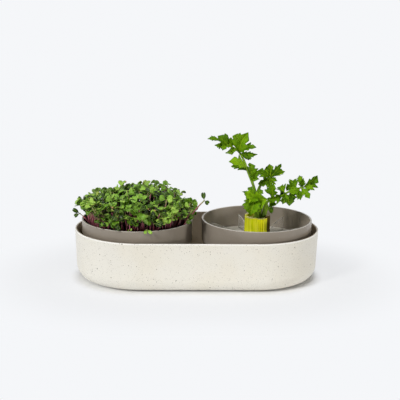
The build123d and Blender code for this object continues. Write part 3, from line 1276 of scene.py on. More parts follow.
@dataclass(frozen=True)
class Microgreens:
    """Thick stand of seedlings with a pair of heart-shaped seed leaves each, rooted in the mat."""

    # Where the seed was sown
    seed: int = 7
    count: int = 390
    edge_crowding: float = 0.44
    sow_inset: float = 5.0 * MM
    root_layer: float = 1.2 * MM
    # Heights of the heads, as a dome that falls to its edge
    canopy_rise: float = 49.0 * MM
    canopy_fall: float = 11.0 * MM
    canopy_lean: float = 0.05
    canopy_scatter: float = 5.4 * MM
    canopy_sink: float = -0.7
    canopy_top: float = 0.8
    canopy_depth: float = 13.0 * MM
    canopy_spread: float = 0.13
    edge_power: int = 4
    edge_drop: float = 0.8
    head_scatter: float = 2.6 * MM
    # Stems
    stem_radius: float = 0.72 * MM
    stem_sizes: Limits = (0.8, 1.2)
    stem_sway: float = 2.2 * MM
    stem_bends: Limits = (-0.1, 0.15)
    bend_height: float = 0.6
    # Scales the stems' shade down, as painted shade inside the stand
    stem_shade: float = 0.7
    # Pairs of seed leaves
    leaf_length: float = 9.2 * MM
    leaf_width: float = 9.6 * MM
    leaf_thickness: float = 0.4 * MM
    leaf_sizes: Limits = (0.66, 1.16)
    leaf_stretch: Limits = (0.9, 1.1)
    leaf_lifts: Limits = (-0.35, 0.55)
    leaf_roll: float = 0.35
    leaf_arches: Limits = (0.2, 0.8)
    leaf_folds: Limits = (0.35, 1.0)
    leaf_curls: Limits = (0.0, 0.3)
    outward_tilt: float = 0.5
    least_tilt: float = 0.05
    nods: tuple[float, ...] = (0.3, 0.45, 0.8)
    # Shades of the leaves, with painted shade down in the stand
    shade_gain: float = 1.06
    shade_scatter: Limits = (-0.18, 0.2)
    painted_shade_by_depth: float = 95.0
    shade_top: float = 0.92
    # Low seedlings all round the edge, and the side where they are lowest
    skirt_count: int = 92
    skirt_rise: Limits = (25.0 * MM, 34.0 * MM)
    skirt_spread: float = 1.03
    skirt_lean: float = 0.45
    # Painted light that brightens the leaves of the low seedlings at the edge
    painted_skirt_light: float = 0.35
    low_side: Limits = (radians(244.0), radians(30.0))
    low_drop: float = 3.0 * MM
    # Open side that shows its stems
    bare_from: float = 0.72
    bare_side: Limits = (radians(201.0), radians(25.0))
    bare_rise: Limits = (34.0 * MM, 42.0 * MM)
    bare_spread: float = 1.12
    # Seedlings that stand out above the rest
    sprout_share: float = 0.05
    sprout_rise: Limits = (3.0 * MM, 8.0 * MM)
    # Seedlings that lean out over the rim
    stray_bow: float = 0.2
    stray_stem: float = 1.5
    stray_stem_shade: float = 0.6
    stray_face: Point = (-0.2, -0.9, 0.5)
    stray_arch: float = 0.3
    stray_fold: float = 0.4
    # Seed coats
    husk_count: int = 16
    first_husk: int = 3
    husk_size: float = 1.6 * MM
    husk_shape: Point = (1.0, 0.72, 0.6)
    husk_point: Point = (1.0, 0.4, 0.5)
    husk_point_from: float = 0.6
    husk_shade: float = 0.5
    # Shapes that are copied, and the strays
    stem: TubePattern = TubePattern("seed_stem", sides=6, runs=4)
    leaf: LeafPattern = LeafPattern(
        "seed_leaf",
        ((0.0, 0.10), (0.20, 0.16), (0.42, 0.80), (0.68, 1.0), (0.90, 0.86), (1.0, 0.50)),
        columns=4,
        notch=0.15,
    )
    strays: tuple[StraySeedling, ...] = (
        StraySeedling((50, -21, 0), (66, -28, 30), (80.5, -38, 48),
                      ((-1.2, 2.0, 9.6), (5.4, -2.0, -3.6)), 5.6, 0.1),
        StraySeedling((-52, -5, 0), (-60, -7, 15), (-70, -8, 24),
                      ((-8.5, -2.0, 6.0), (-6.5, 0.0, -4.0)), 5.0, 0.1),
        StraySeedling((49, -16, 0), (58, -20, 19), (67, -24, 33),
                      ((6.5, -2.0, 4.0), (3.0, -3.0, -6.0)), 7.0, 0.25),
        StraySeedling((51, -6, 0), (58, -9, 23), (65, -12, 39),
                      ((7.5, -1.0, 1.0), (-2.0, -3.0, 7.5)), 7.5, 0.4),
        StraySeedling((45, -28, 0), (55, -33, 14), (62, -37, 25),
                      ((6.0, -2.5, 4.0), (1.0, -4.0, -5.5)), 6.5, 0.15),
        StraySeedling((10, -52, 0), (11, -60, 16), (12.7, -66.5, 19),
                      ((6.0, -5.0, -3.0), (-2.5, -5.0, -3.5)), 3.8, 0.85),
        StraySeedling((-7, -54, 0), (-7, -56, 9), (-7.4, -58, 15),
                      ((2.2, -2.0, 3.6), (-2.6, -2.0, 1.6)), 3.0, 1.0),
    )

    def build(self) -> None:
        """Make the stems, the leaves and the seed coats."""
        low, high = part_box(GrowingMat.node)
        axis = (low + high) / 2.0
        radius = (high.x - low.x) / 2.0
        self.seedlings(Vector((axis.x, axis.y, high.z + self.root_layer)), radius - self.sow_inset)

    def dome(self, share: float) -> float:
        """Height of the canopy's outside, at a share of the way out."""
        edge_fall = self.edge_drop * self.canopy_depth * share ** self.edge_power
        return self.canopy_rise - self.canopy_fall * share * share - edge_fall

    def facing(self, foot: Vector, turn: float, half: float) -> bool:
        """Whether a place lies within an angle of a side of the mat."""
        return foot.normalized().dot(spoke(turn)) > cos(half)

    def bare(self, foot: Vector, share: float) -> bool:
        """Whether a seedling stands where the stand's edge is open and shows its stems."""
        return share > self.bare_from and self.facing(foot, *self.bare_side)

    def head_of(self, foot: Vector, share: float, chance: random.Random) -> Vector:
        """Where a seedling's leaves open.

        Args:
            foot: Its foot, from the middle of the mat.
            share: How far out the foot is, from 0 to 1.
            chance: Source of the scatter.

        Returns:
            The head, from the middle of the mat.
        """
        rise = self.canopy_rise - self.canopy_fall * share * share + self.canopy_lean * foot.x
        rise += min(self.canopy_top, chance.gauss(self.canopy_sink, 1.0)) * self.canopy_scatter
        rise -= self.canopy_depth * chance.random() * share ** self.edge_power
        rise = max(rise, self.skirt_rise[0])
        spread = 1.0 + self.canopy_spread * share
        if share >= 1.0:
            rise = chance.uniform(*self.skirt_rise) - self.low_drop * self.facing(foot, *self.low_side)
            spread = self.skirt_spread
        if self.bare(foot, share):
            rise = chance.uniform(*self.bare_rise)
            spread = self.bare_spread
        if chance.random() < self.sprout_share:
            rise += chance.uniform(*self.sprout_rise)
        return Vector((foot.x * spread, foot.y * spread, rise)) + level_scatter(chance, self.head_scatter)

    def face_of(self, outward: Vector, share: float, chance: random.Random) -> Vector:
        """The way that a seedling's pair of leaves looks.

        Args:
            outward: The way out from the middle of the mat.
            share: How far out the foot is, from 0 to 1.
            chance: Source of its nod.

        Returns:
            The unit vector.
        """
        lean = self.skirt_lean if share >= 1.0 else self.outward_tilt * share * share + self.least_tilt
        nod = self.nods[0] if share >= 1.0 else chance.choice(self.nods)
        return (UP + outward * lean + level_scatter(chance, nod)).normalized()

    def leaf_pose(self, root: Vector, side: float, face: Vector, size: float,
                  chance: random.Random) -> LeafPose:
        """How one seed leaf grows.

        Args:
            root: The stem's head.
            side: Angle of the leaf's side of the pair.
            face: The way that the pair looks.
            size: Size of the pair's leaves.
            chance: Source of its lift, roll, length and curl.

        Returns:
            The leaf's pose.
        """
        way = spoke(side)
        way = (way - face * way.dot(face)).normalized()
        lift = chance.uniform(*self.leaf_lifts)
        along = way * cos(lift) + face * sin(lift)
        leaf_face = face * cos(lift) - way * sin(lift)
        leaf_face += face.cross(way) * chance.gauss(0.0, self.leaf_roll)
        length = self.leaf_length * size * chance.uniform(*self.leaf_stretch)
        limits = (self.leaf_arches, self.leaf_folds, self.leaf_curls)
        bends = [chance.uniform(*pair) for pair in limits]
        return LeafPose(root, root + along * length, leaf_face, self.leaf_width * size, *bends)

    def tone_of(self, head: Vector, share: float, shade: float, chance: random.Random) -> float:
        """Shade of one seed leaf, with painted shade that darkens it down in the stand.

        Args:
            head: The stem's head, from the middle of the mat.
            share: How far out the foot is, from 0 to 1.
            shade: The seedling's own shade.
            chance: Source of the scatter.

        Returns:
            The shade, from 0 to 1.
        """
        depth = max(0.0, self.dome(share) - head.z)
        tone = shade * self.shade_gain + chance.uniform(*self.shade_scatter) - self.painted_shade_by_depth * depth
        # Painted light on the low seedlings at the edge
        tone += self.painted_skirt_light if share >= 1.0 else 0.0
        return min(self.shade_top, max(0.0, tone))

    def seedlings(self, middle: Vector, radius: float) -> None:
        """Stems, leaves and seed coats of the whole stand.

        Args:
            middle: Middle of the top of the roots.
            radius: Radius that the seed was sown to.
        """
        chance = random.Random(self.seed)
        leaf = self.leaf.model()
        tube = self.stem.model()
        leaves = Bundle()
        stems = Bundle()
        husked = []
        for index in range(self.count + self.skirt_count):
            share = min(1.0, ((index + 0.5) / self.count) ** self.edge_crowding)
            outward = spoke(index * GOLDEN_ANGLE)
            foot = outward * (radius * share)
            head = self.head_of(foot, share, chance)
            bend = Vector((foot.x, foot.y, head.z * self.bend_height))
            bend += (head - foot) * chance.uniform(*self.stem_bends)
            bend += level_scatter(chance, self.stem_sway)
            shade = chance.random()
            thickness = self.stem_radius * chance.uniform(*self.stem_sizes)
            stem = StemPose(middle + foot, middle + bend, middle + head, thickness)
            # Stems on the open side come out pink, as painted light; the others are darkened, as painted
            # shade inside the stand
            stems.add(tube, stem.placed, 1.0 if self.bare(foot, share) else shade * self.stem_shade)
            face = self.face_of(outward, share, chance)
            pair = chance.uniform(0.0, pi)
            size = chance.uniform(*self.leaf_sizes)
            for side in (pair, pair + pi):
                pose = self.leaf_pose(middle + head, side, face, size, chance)
                leaves.add(leaf, pose.placed, self.tone_of(head, share, shade, chance))
            if index % (self.count // self.husk_count) == self.first_husk:
                husked.append(pose)
        self.add_strays(middle, leaf, tube, leaves, stems)
        greens = leaves.build("seedling_leaves", SeedLeafSkin().material(), self.underside())
        apply_modifier(greens, "SOLIDIFY", thickness=self.leaf_thickness, offset=0.0, material_offset=1)
        seat(greens, Body.GREENS, Slot.SEED_LEAF, "microgreens")
        stand = stems.build("seedling_stems", SeedStemSkin().material())
        seat(stand, Body.GREENS, Slot.SEED_LEAF, "microgreens")
        self.husks(husked)

    def underside(self) -> bpy.types.Material:
        """Paler, duller lower side of the seed leaves."""
        skin = SeedLeafSkin(
            "seed_leaf_lower", deep=rgb(0.07, 0.135, 0.022), middle=rgb(0.15, 0.27, 0.05),
            bright=rgb(0.27, 0.40, 0.09), yellow=rgb(0.44, 0.48, 0.09), vein=rgb(0.33, 0.43, 0.15),
            stalk=rgb(0.33, 0.3, 0.12), roughness=0.55)
        return skin.material()

    def add_strays(self, middle: Vector, leaf: bpy.types.Mesh, tube: bpy.types.Mesh, leaves: Bundle,
                   stems: Bundle) -> None:
        """Seedlings that lean out over the rim.

        Args:
            middle: Middle of the top of the roots.
            leaf: The seed leaf to copy.
            tube: The stem to copy.
            leaves: Where the leaves are gathered.
            stems: Where the stems are gathered.
        """
        face = Vector(self.stray_face)
        for stray in self.strays:
            places = (stray.foot, stray.bend, stray.head)
            foot, bend, head = (middle + Vector(place) * MM for place in places)
            bend += (bend - foot) * self.stray_bow
            stem = StemPose(foot, bend, head, self.stem_radius * self.stray_stem)
            stems.add(tube, stem.placed, self.stray_stem_shade)
            for tip in stray.tips:
                pose = LeafPose(head, head + Vector(tip) * MM, face, stray.width * MM, self.stray_arch,
                                self.stray_fold)
                leaves.add(leaf, pose.placed, stray.shade)

    def husks(self, husked: Sequence[LeafPose]) -> None:
        """Seed coats that still cling to some of the leaves.

        Args:
            husked: The leaves with a seed coat at their tips.
        """
        clear_selection()
        bpy.ops.mesh.primitive_ico_sphere_add(subdivisions=1, radius=1.0)
        husk = bpy.context.object
        with editing(husk):
            bpy.ops.mesh.select_all(action="SELECT")
            bpy.ops.transform.resize(value=self.husk_shape)
            pick(husk, lambda vert: vert.co.x > self.husk_point_from)
            bpy.ops.transform.resize(value=self.husk_point)
        pattern = husk.data
        bpy.data.objects.remove(husk)
        bundle = Bundle()
        for leaf in husked:
            turn = (leaf.tip - leaf.root).normalized().to_track_quat("X", "Z").to_matrix()
            bundle.add(pattern, lambda point: leaf.tip + turn @ point * self.husk_size, self.husk_shade)
        coats = bundle.build("seed_coats", SeedCoat().material())
        seat(coats, Body.GREENS, Slot.SEED_LEAF, "microgreens")


@dataclass(frozen=True)
class StalkPlan:
    """One leaf stalk, in millimetres from the middle of the celery's cut top.

    A leaflet has its station on the line (2.5 is halfway from the third point to the fourth), its tip
    and its width. Twins are shorter stems beside it that end among its leaves.
    """

    node: str
    line: tuple[Point, ...]
    leaflets: tuple[Leaflet, ...]
    twins: tuple[tuple[Point, ...], ...] = ()


@dataclass(frozen=True)
class CeleryLeaves:
    """The leaf stalks that regrow from the celery end."""

    seed: int = 3
    root_radius: float = 3.1 * MM
    tip_radius: float = 1.35 * MM
    groove: float = 0.35
    merge_gap: float = 0.01 * MM
    leaf_thickness: float = 0.45 * MM
    leaf_face: Point = (0.15, -0.85, 0.5)
    leaf_sway: float = 0.4
    leaf_arches: Limits = (0.1, 0.6)
    leaf_folds: Limits = (0.3, 1.0)
    leaf_curls: Limits = (0.0, 0.3)
    leaf_waves: Limits = (0.06, 0.2)
    leaf_bow: float = 0.22
    section_steps: int = 3
    line_steps: int = 6
    station_steps: int = 20
    mean_shade: float = 0.63
    shade_rise: float = 0.002
    shade_scatter: float = 0.22
    broad: LeafPattern = LeafPattern(
        "broad_leaflet",
        ((0.0, 0.10), (0.06, 0.12), (0.12, 0.40), (0.20, 0.74), (0.27, 0.94),
         (0.31, 0.96), (0.34, 0.74), (0.44, 0.92), (0.52, 1.0), (0.55, 0.98),
         (0.58, 0.72), (0.67, 0.80), (0.72, 0.76), (0.75, 0.50), (0.83, 0.48),
         (0.88, 0.28), (1.0, 0.03)),
        columns=6,
        rake=0.22,
    )
    trifid: LeafPattern = LeafPattern(
        "trifid_leaflet",
        ((0.0, 0.05), (0.08, 0.09), (0.13, 0.32), (0.18, 0.66), (0.23, 0.92),
         (0.27, 1.0), (0.34, 0.84), (0.41, 0.58), (0.47, 0.44), (0.54, 0.56),
         (0.61, 0.60), (0.69, 0.48), (0.78, 0.34), (0.86, 0.22), (0.94, 0.10),
         (1.0, 0.01)),
        columns=6,
        rake=0.66,
    )
    pinnate: LeafPattern = LeafPattern(
        "pinnate_leaflet",
        ((0.0, 0.05), (0.05, 0.10), (0.10, 0.42), (0.15, 0.80), (0.19, 1.0),
         (0.26, 0.84), (0.33, 0.52), (0.38, 0.44), (0.44, 0.66), (0.49, 0.80),
         (0.56, 0.68), (0.62, 0.44), (0.67, 0.36), (0.73, 0.42), (0.80, 0.32),
         (0.88, 0.19), (0.95, 0.09), (1.0, 0.01)),
        columns=6,
        rake=0.70,
    )
    narrow: LeafPattern = LeafPattern(
        "narrow_leaflet",
        ((0.0, 0.10), (0.12, 0.22), (0.28, 0.66), (0.36, 0.92), (0.40, 0.90),
         (0.43, 0.60), (0.54, 0.88), (0.60, 0.86), (0.63, 0.52), (0.74, 0.56),
         (0.78, 0.34), (1.0, 0.02)),
        columns=6,
        rake=0.4,
    )
    narrow_width: float = 8.5
    broad_width: float = 17.5
    trifid_ratio: float = 0.68
    leaf_breadth: float = 1.28
    broad_stalks: tuple[str, ...] = ("front_stalk", "side_stalk")
    stalks: tuple[StalkPlan, ...] = (
        StalkPlan(
            "tall_stalk",
            ((-3.5, 2.5, -6), (-2.5, 2.5, 22), (-6.5, 3.5, 38), (-11.5, 5, 50.5), (-20.5, 8, 72.5),
             (-25, 9, 79), (-41.5, 8, 88.5), (-47.5, 6, 92.5)),
            ((4.5, (-14, -4, 105), 19), (4.7, (-4, -8, 87.5), 13), (4.6, (-2.5, -9, 79), 8),
             (4.4, (-9, 10, 69), 7), (5.0, (-25, 22, 99), 13), (5.6, (-22, 16, 101), 9),
             (5.3, (-41, 14, 100.5), 15), (5.7, (-50, 10, 98), 13), (5.3, (-32.5, -2, 78), 7),
             (6.8, (-63, 2, 95.5), 7), (6.4, (-54.5, -4, 89), 8), (3.3, (-37, -6, 69), 16),
             (2.8, (-10, 14, 64), 13), (2.7, (-1.5, 0, 57), 12), (2.2, (-3, 3, 54), 9),
             (5.9, (-45, -6, 83), 9), (5.5, (-39, -9, 80), 8), (3.2, (-33, 10, 60), 10)),
        ),
        StalkPlan(
            "middle_stalk",
            ((1.5, 6.5, -6), (0, 8, 14.5), (2, 11, 30), (8, 15, 39.5), (17, 18, 44.5)),
            ((3.8, (0.5, 22, 52), 14), (3.9, (15.5, 22, 61), 11), (3.9, (29.5, 14, 63), 10),
             (4.0, (35.5, 22, 51.5), 8), (3.8, (25, 12, 41.5), 6), (3.9, (1, 12, 37.5), 12),
             (3.9, (13, 10, 35.5), 12), (3.9, (11.5, 18, 59), 6)),
        ),
        StalkPlan(
            "right_stalk",
            ((5.5, -3.2, -6), (8.5, -4, 13.5), (13, -5, 21.5), (25, -7, 25.5), (39, -9, 34.5),
             (57, -10, 40)),
            ((4.9, (71, -12, 54), 14), (4.7, (50.5, 0, 51.5), 6.5), (4.8, (53.5, -16, 51.5), 7.5),
             (4.9, (67.5, -18, 37), 7), (4.7, (61.5, -20, 27), 10), (4.5, (47, -18, 25), 9),
             (4.5, (35, 4, 35), 11), (3.5, (37, -20, 17.5), 17), (3.5, (27, 4, 36), 11),
             (2.5, (18, -10, 43), 14), (3.9, (43, -14, 23), 12), (3.4, (9.5, -13, 24.5), 10),
             (4.7, (36.5, -16, 34), 11), (2.3, (11, 3, 35), 7), (2.9, (22.5, -14, 22), 9),
             (4.4, (46, 4, 46), 9), (4.4, (51, -16, 24), 8), (3.7, (29, -17, 19), 10),
             (4.0, (40, 6, 45), 10), (3.0, (26, -15, 35), 9)),
        ),
        StalkPlan(
            "front_stalk",
            ((-1.5, -5.5, -6), (-1.5, -9, 8.5), (-2.5, -12, 16.5), (-5, -15, 29)),
            ((2.9, (-10.5, -22, 6.5), 18), (2.8, (-17.5, -20, 34), 15), (2.7, (-13.5, -24, 21), 18),
             (2.5, (9.5, -22, 26.5), 20), (2.3, (5, -20, 17.5), 15), (3.0, (-13.5, -9, 37.5), 9),
             (2.9, (5.5, -9, 34.5), 7), (2.9, (-21, -17, 34.5), 4)),
        ),
        StalkPlan(
            "side_stalk",
            ((6, 3, -6), (7.5, 3.5, 0.5), (15.5, 4, 11.5)),
            ((1.9, (23.5, 0, 14), 11), (1.9, (19, 8, 21), 10), (1.7, (20.5, 6, 4.5), 8)),
            (((2.5, -1.5, -6), (3, -2.5, 6), (4.5, -4, 17)), ((9, 0, -6), (9.5, -1, 5), (12.5, -2, 15))),
        ),
    )

    def build(self, top: Vector) -> None:
        """Make each stalk with its leaflets.

        Args:
            top: Middle of the celery's cut top.
        """
        chance = random.Random(self.seed)
        patterns = (self.broad, self.trifid, self.pinnate, self.narrow)
        models = {pattern.name: pattern.model() for pattern in patterns}
        section = self.section()
        skins = (CeleryLeafSkin().material(), self.underside())
        stalk_skin = CeleryStalkSkin().material()
        for plan in self.stalks:
            curve = self.curve(plan.line, top)
            bundle = Bundle()
            for station, tip, width in plan.leaflets:
                root = self.station(curve, station)
                pose = self.leaf_pose(root, top + Vector(tip) * MM, width, chance)
                shade = self.mean_shade + self.shade_rise * tip[1] + chance.gauss(0.0, self.shade_scatter)
                pattern = self.pattern_of(plan.node, width, pose)
                bundle.add(models[pattern.name], pose.placed, min(1.0, max(0.0, shade)))
            leaves = bundle.build(plan.node + "_leaflets", *skins)
            apply_modifier(
                leaves, "SOLIDIFY", thickness=self.leaf_thickness, offset=0.0, material_offset=1)
            pieces = [leaves, self.stalk(curve, section, stalk_skin)]
            pieces += [self.stalk(self.curve(line, top), section, stalk_skin) for line in plan.twins]
            seat(join(pieces, plan.node + "_leafed"), Body.CELERY, Slot.CELERY_LEAF, plan.node)
        bpy.data.objects.remove(section)

    def pattern_of(self, node: str, width: float, pose: LeafPose) -> LeafPattern:
        """The pattern of one leaflet, by its stalk and its proportions.

        Args:
            node: Its stalk's CAD node.
            width: Its width in millimetres.
            pose: How it grows.

        Returns:
            The pattern.
        """
        if width < self.narrow_width:
            return self.narrow
        if node in self.broad_stalks and width > self.broad_width:
            return self.broad
        stout = pose.width > self.trifid_ratio * (pose.tip - pose.root).length
        return self.trifid if stout else self.pinnate

    def underside(self) -> bpy.types.Material:
        """Paler, duller lower side of the leaflets."""
        skin = CeleryLeafSkin(
            "celery_leaf_lower", deep=rgb(0.060, 0.125, 0.010), middle=rgb(0.125, 0.245, 0.012),
            bright=rgb(0.21, 0.37, 0.018), vein=rgb(0.32, 0.45, 0.05), roughness=0.52)
        return skin.material()

    def section(self) -> bpy.types.Object:
        """Round section of a stalk with a groove down one side.

        Returns:
            The closed curve, one unit in radius.
        """
        clear_selection()
        bpy.ops.curve.primitive_bezier_circle_add(radius=1.0)
        section = bpy.context.object
        section.data.resolution_u = self.section_steps
        groove = max(section.data.splines[0].bezier_points, key=lambda knot: knot.co.y)
        groove.co.y = self.groove
        for knot in section.data.splines[0].bezier_points:
            knot.handle_left_type = "AUTO"
            knot.handle_right_type = "AUTO"
        return section

    def curve(self, line: Sequence[Point], top: Vector) -> bpy.types.Object:
        """Smooth line of a stalk.

        Args:
            line: The stalk's points.
            top: Middle of the celery's cut top.

        Returns:
            A curve through the points.
        """
        clear_selection()
        bpy.ops.curve.primitive_bezier_curve_add(location=(0.0, 0.0, 0.0))
        curve = bpy.context.object
        curve.data.resolution_u = self.line_steps
        knots = curve.data.splines[0].bezier_points
        knots.add(len(line) - len(knots))
        for index, (knot, place) in enumerate(zip(knots, line)):
            knot.co = top + Vector(place) * MM
            knot.handle_left_type = "AUTO"
            knot.handle_right_type = "AUTO"
            rest = 1.0 - index / (len(line) - 1)
            knot.radius = self.tip_radius + (self.root_radius - self.tip_radius) * rest
        return curve

    def station(self, curve: bpy.types.Object, station: float) -> Vector:
        """A place on a stalk's line.

        Args:
            curve: The line.
            station: Number of the knot, with a share of the way to the next one.

        Returns:
            The place.
        """
        knots = curve.data.splines[0].bezier_points
        index = min(int(station), len(knots) - 2)
        here = knots[index]
        there = knots[index + 1]
        places = interpolate_bezier(here.co, here.handle_right, there.handle_left, there.co,
                                    self.station_steps + 1)
        return places[round((station - index) * self.station_steps)]

    def leaf_pose(self, root: Vector, tip: Vector, width: float, chance: random.Random) -> LeafPose:
        """How one leaflet grows from its stalk.

        Args:
            root: Its place on the stalk.
            tip: Its tip.
            width: Its width in millimetres.
            chance: Source of its curl.

        Returns:
            The leaflet's pose.
        """
        sway = Vector((chance.gauss(0.0, self.leaf_sway), 0.0, chance.gauss(0.0, self.leaf_sway)))
        limits = (self.leaf_arches, self.leaf_folds, self.leaf_curls, self.leaf_waves)
        bends = [chance.uniform(*pair) for pair in limits]
        bow = chance.gauss(0.0, self.leaf_bow)
        face = Vector(self.leaf_face) + sway
        return LeafPose(root, tip, face, width * self.leaf_breadth * MM, *bends, bow)

    def stalk(self, curve: bpy.types.Object, section: bpy.types.Object,
              skin: bpy.types.Material) -> bpy.types.Object:
        """Sweep the section along a stalk's line.

        Args:
            curve: The line.
            section: The grooved section.
            skin: The stalk's material.

        Returns:
            The stalk as a mesh.
        """
        curve.data.dimensions = "3D"
        curve.data.bevel_mode = "OBJECT"
        curve.data.bevel_object = section
        curve.data.use_fill_caps = True
        take(curve)
        bpy.ops.object.convert(target="MESH")
        stalk = bpy.context.object
        with editing(stalk):
            bpy.ops.mesh.select_all(action="SELECT")
            bpy.ops.mesh.remove_doubles(threshold=self.merge_gap)
            bpy.ops.mesh.normals_make_consistent(inside=False)
        heights = [vert.co.z for vert in stalk.data.vertices]
        foot = min(heights)
        reach = max(heights) - foot
        carry(stalk.data, LeafTrait.ALONG, [(height - foot) / reach for height in heights])
        coat(stalk, skin)
        bpy.ops.object.shade_smooth()
        return stalk


@dataclass(frozen=True)
class Sheath:
    """One leaf sheath of the celery end: a crescent round the heart, with its angles in degrees."""

    angle: float
    reach: float
    half_angle: float
    thickness: float
    top_step: float
    dryness: float


@dataclass(frozen=True)
class CeleryEnd:
    """Cut celery end: ribbed sheaths that wrap a heart."""

    height: float = 29.2 * MM
    arc_steps: int = 26
    rib_count: int = 9
    rib_depth: float = 0.42 * MM
    edge_inset: float = 1.6 * MM
    edge_thinning: float = 0.8
    foot_swell: float = 1.035
    runs: int = 5
    cut_spare: float = 2.0
    cut_slant: float = 0.16
    cut_normal: float = 0.6
    smooth_angle: float = radians(40.0)
    sheaths: tuple[Sheath, ...] = (
        Sheath(0.0, 15.4 * MM, 46.0, 4.6 * MM, 0.8 * MM, 0.95),
        Sheath(72.0, 15.0 * MM, 47.0, 4.4 * MM, -1.5 * MM, 0.35),
        Sheath(144.0, 15.5 * MM, 46.0, 4.6 * MM, 1.0 * MM, 0.1),
        Sheath(216.0, 15.5 * MM, 49.0, 4.4 * MM, -0.5 * MM, 0.0),
        Sheath(288.0, 15.2 * MM, 47.0, 4.6 * MM, -1.0 * MM, 0.05),
        Sheath(30.0, 10.6 * MM, 66.0, 3.4 * MM, -3.5 * MM, 0.2),
        Sheath(150.0, 10.4 * MM, 66.0, 3.4 * MM, -2.5 * MM, 0.0),
        Sheath(270.0, 10.6 * MM, 66.0, 3.4 * MM, -3.0 * MM, 0.0),
        Sheath(90.0, 6.4 * MM, 80.0, 2.6 * MM, -5.5 * MM, 0.0),
        Sheath(250.0, 6.6 * MM, 84.0, 2.6 * MM, -5.0 * MM, 0.0),
    )

    def build(self) -> Vector:
        """Make the sheaths.

        Returns:
            Middle of the cut top.
        """
        low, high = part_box("celery_base")
        foot = Vector(((low.x + high.x) / 2.0, (low.y + high.y) / 2.0, low.z))
        outside = CeleryFlesh().material()
        cut = CeleryCut().material()
        pieces = [self.sheath(sheath, foot, outside, cut) for sheath in self.sheaths]
        seat(join(pieces, "celery_sheaths"), Body.CELERY, Slot.FLESH, "celery_base")
        return foot + UP * self.height

    def outline(self, sheath: Sheath) -> list[Vector]:
        """The crescent of one sheath, ribbed on its outer side.

        Args:
            sheath: Its sizes.

        Returns:
            Points round it, counter-clockwise.
        """
        half = radians(sheath.half_angle)
        outer = []
        inner = []
        for step in range(self.arc_steps + 1):
            share = 2.0 * step / self.arc_steps - 1.0
            out = spoke(radians(sheath.angle) + half * share)
            fall = share * share
            rib = self.rib_depth * cos(share * self.rib_count * pi) * (1.0 - fall)
            reach = sheath.reach - self.edge_inset * fall + rib
            thickness = sheath.thickness * (1.0 - self.edge_thinning * fall)
            outer.append(out * reach)
            inner.append(out * (reach - rib - thickness))
        return outer + inner[::-1]

    def sheath(self, sheath: Sheath, foot: Vector, outside: bpy.types.Material,
               cut: bpy.types.Material) -> bpy.types.Object:
        """Raise one sheath from its crescent and cut its top.

        Args:
            sheath: Its sizes.
            foot: Middle of the celery's underside.
            outside: Material of its sides.
            cut: Material of its cut face.

        Returns:
            The sheath.
        """
        points = self.outline(sheath)
        column = TubePattern("celery_sheath", sides=len(points), runs=self.runs).model()
        obj = bpy.data.objects.new("celery_sheath", column)
        bpy.context.scene.collection.objects.link(obj)
        rise = self.height + self.cut_spare * sheath.thickness
        for vert in column.vertices:
            turn = atan2(vert.co.x, vert.co.y) / (2.0 * pi)
            point = points[round(turn * len(points)) % len(points)]
            share = vert.co.z
            vert.co = foot + point * self.foot_swell ** (1.0 - share) + UP * rise * share
        coat(obj, outside, cut)
        top = foot + UP * (self.height + sheath.top_step)
        out = spoke(radians(sheath.angle))
        slant = out * self.cut_slant
        with editing(obj):
            bpy.ops.mesh.select_all(action="SELECT")
            bpy.ops.mesh.bisect(plane_co=top + out * sheath.reach, plane_no=UP + slant, use_fill=True,
                                clear_outer=True)
            bpy.ops.mesh.select_all(action="SELECT")
            bpy.ops.mesh.normals_make_consistent(inside=False)
        for face in obj.data.polygons:
            face.material_index = 1 if face.normal.z > self.cut_normal else 0
        carry(obj.data, LeafTrait.SHADE, [sheath.dryness] * len(obj.data.vertices))
        bpy.ops.object.shade_smooth_by_angle(angle=self.smooth_angle)
        return obj


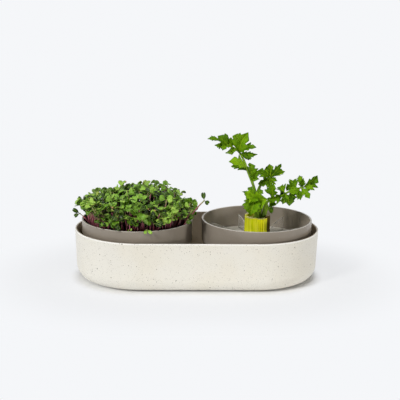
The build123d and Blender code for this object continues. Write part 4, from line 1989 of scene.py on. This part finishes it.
@dataclass(frozen=True)
class RegrowInsert:
    """Plate that carries a vegetable end between six clear fins, with the CAD node's own shape."""

    node: str = "regrow_insert"
    fin_level: float = 47.9 * MM
    side_facing: float = 0.7
    merge_gap: float = 0.001 * MM
    smooth_angle: float = radians(30.0)
    milky: TaupePlastic = TaupePlastic(
        "milky_plate", base=rgb(0.74, 0.71, 0.63), deep=rgb(0.67, 0.64, 0.56), fleck=rgb(0.80, 0.77, 0.70))
    fin_sides: ClearPlastic = ClearPlastic("clear_fin_sides", 0.14)
    # Pale, less clear fin edges: painted highlight where the edges catch the light
    fin_edge_highlight: ClearPlastic = ClearPlastic("clear_fin_edges", 0.62)

    def build(self) -> None:
        """Copy the node's mesh and part its finish at the foot of the fins."""
        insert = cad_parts[self.node].copy()
        insert.data = insert.data.copy()
        insert.name = "finned_plate"
        bpy.context.scene.collection.objects.link(insert)
        with editing(insert):
            bpy.ops.mesh.select_all(action="SELECT")
            bpy.ops.mesh.remove_doubles(threshold=self.merge_gap)
        finishes = (self.milky, self.fin_sides, self.fin_edge_highlight)
        plate, sides, edges = range(len(finishes))
        coat(insert, *(finish.material() for finish in finishes))
        low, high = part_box(self.node)
        for face in insert.data.polygons:
            around = UP.cross(face.center - (low + high) / 2.0).normalized()
            # Edge faces of the fins take the painted highlight
            fin = sides if abs(face.normal.dot(around)) > self.side_facing else edges
            face.material_index = fin if face.center.z > self.fin_level else plate
        bpy.ops.object.shade_smooth_by_angle(angle=self.smooth_angle)
        seat(insert, Body.INSERT, Slot.TAUPE, self.node)


@dataclass(frozen=True)
class MouldedKit:
    """The moulded pieces, which keep their CAD shapes."""

    cream_nodes: tuple[str, ...] = ("outer_planter",)
    taupe_nodes: tuple[str, ...] = ("microgreens_pot", "regrow_pot", "sprouting_sieve")

    def dress(self) -> None:
        """Give each node its finish."""
        finishes = (
            (self.cream_nodes, SpeckledCream()),
            (self.taupe_nodes, TaupePlastic()),
        )
        for nodes, finish in finishes:
            material = finish.material()
            for node in nodes:
                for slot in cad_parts[node].material_slots:
                    slot.material = material
                LOG.info("%s: dressed in %s", node, material.name)


def main() -> None:
    """Build the scene piece by piece and note its size."""
    logging.basicConfig(level=logging.INFO, format="%(message)s")
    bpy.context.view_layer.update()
    PhotoCamera().build()
    Studio().build()
    MouldedKit().dress()
    RegrowInsert().build()
    GrowingMat().build()
    Microgreens().build()
    top = CeleryEnd().build()
    CeleryLeaves().build(top)


if __name__ == "__main__":
    main()
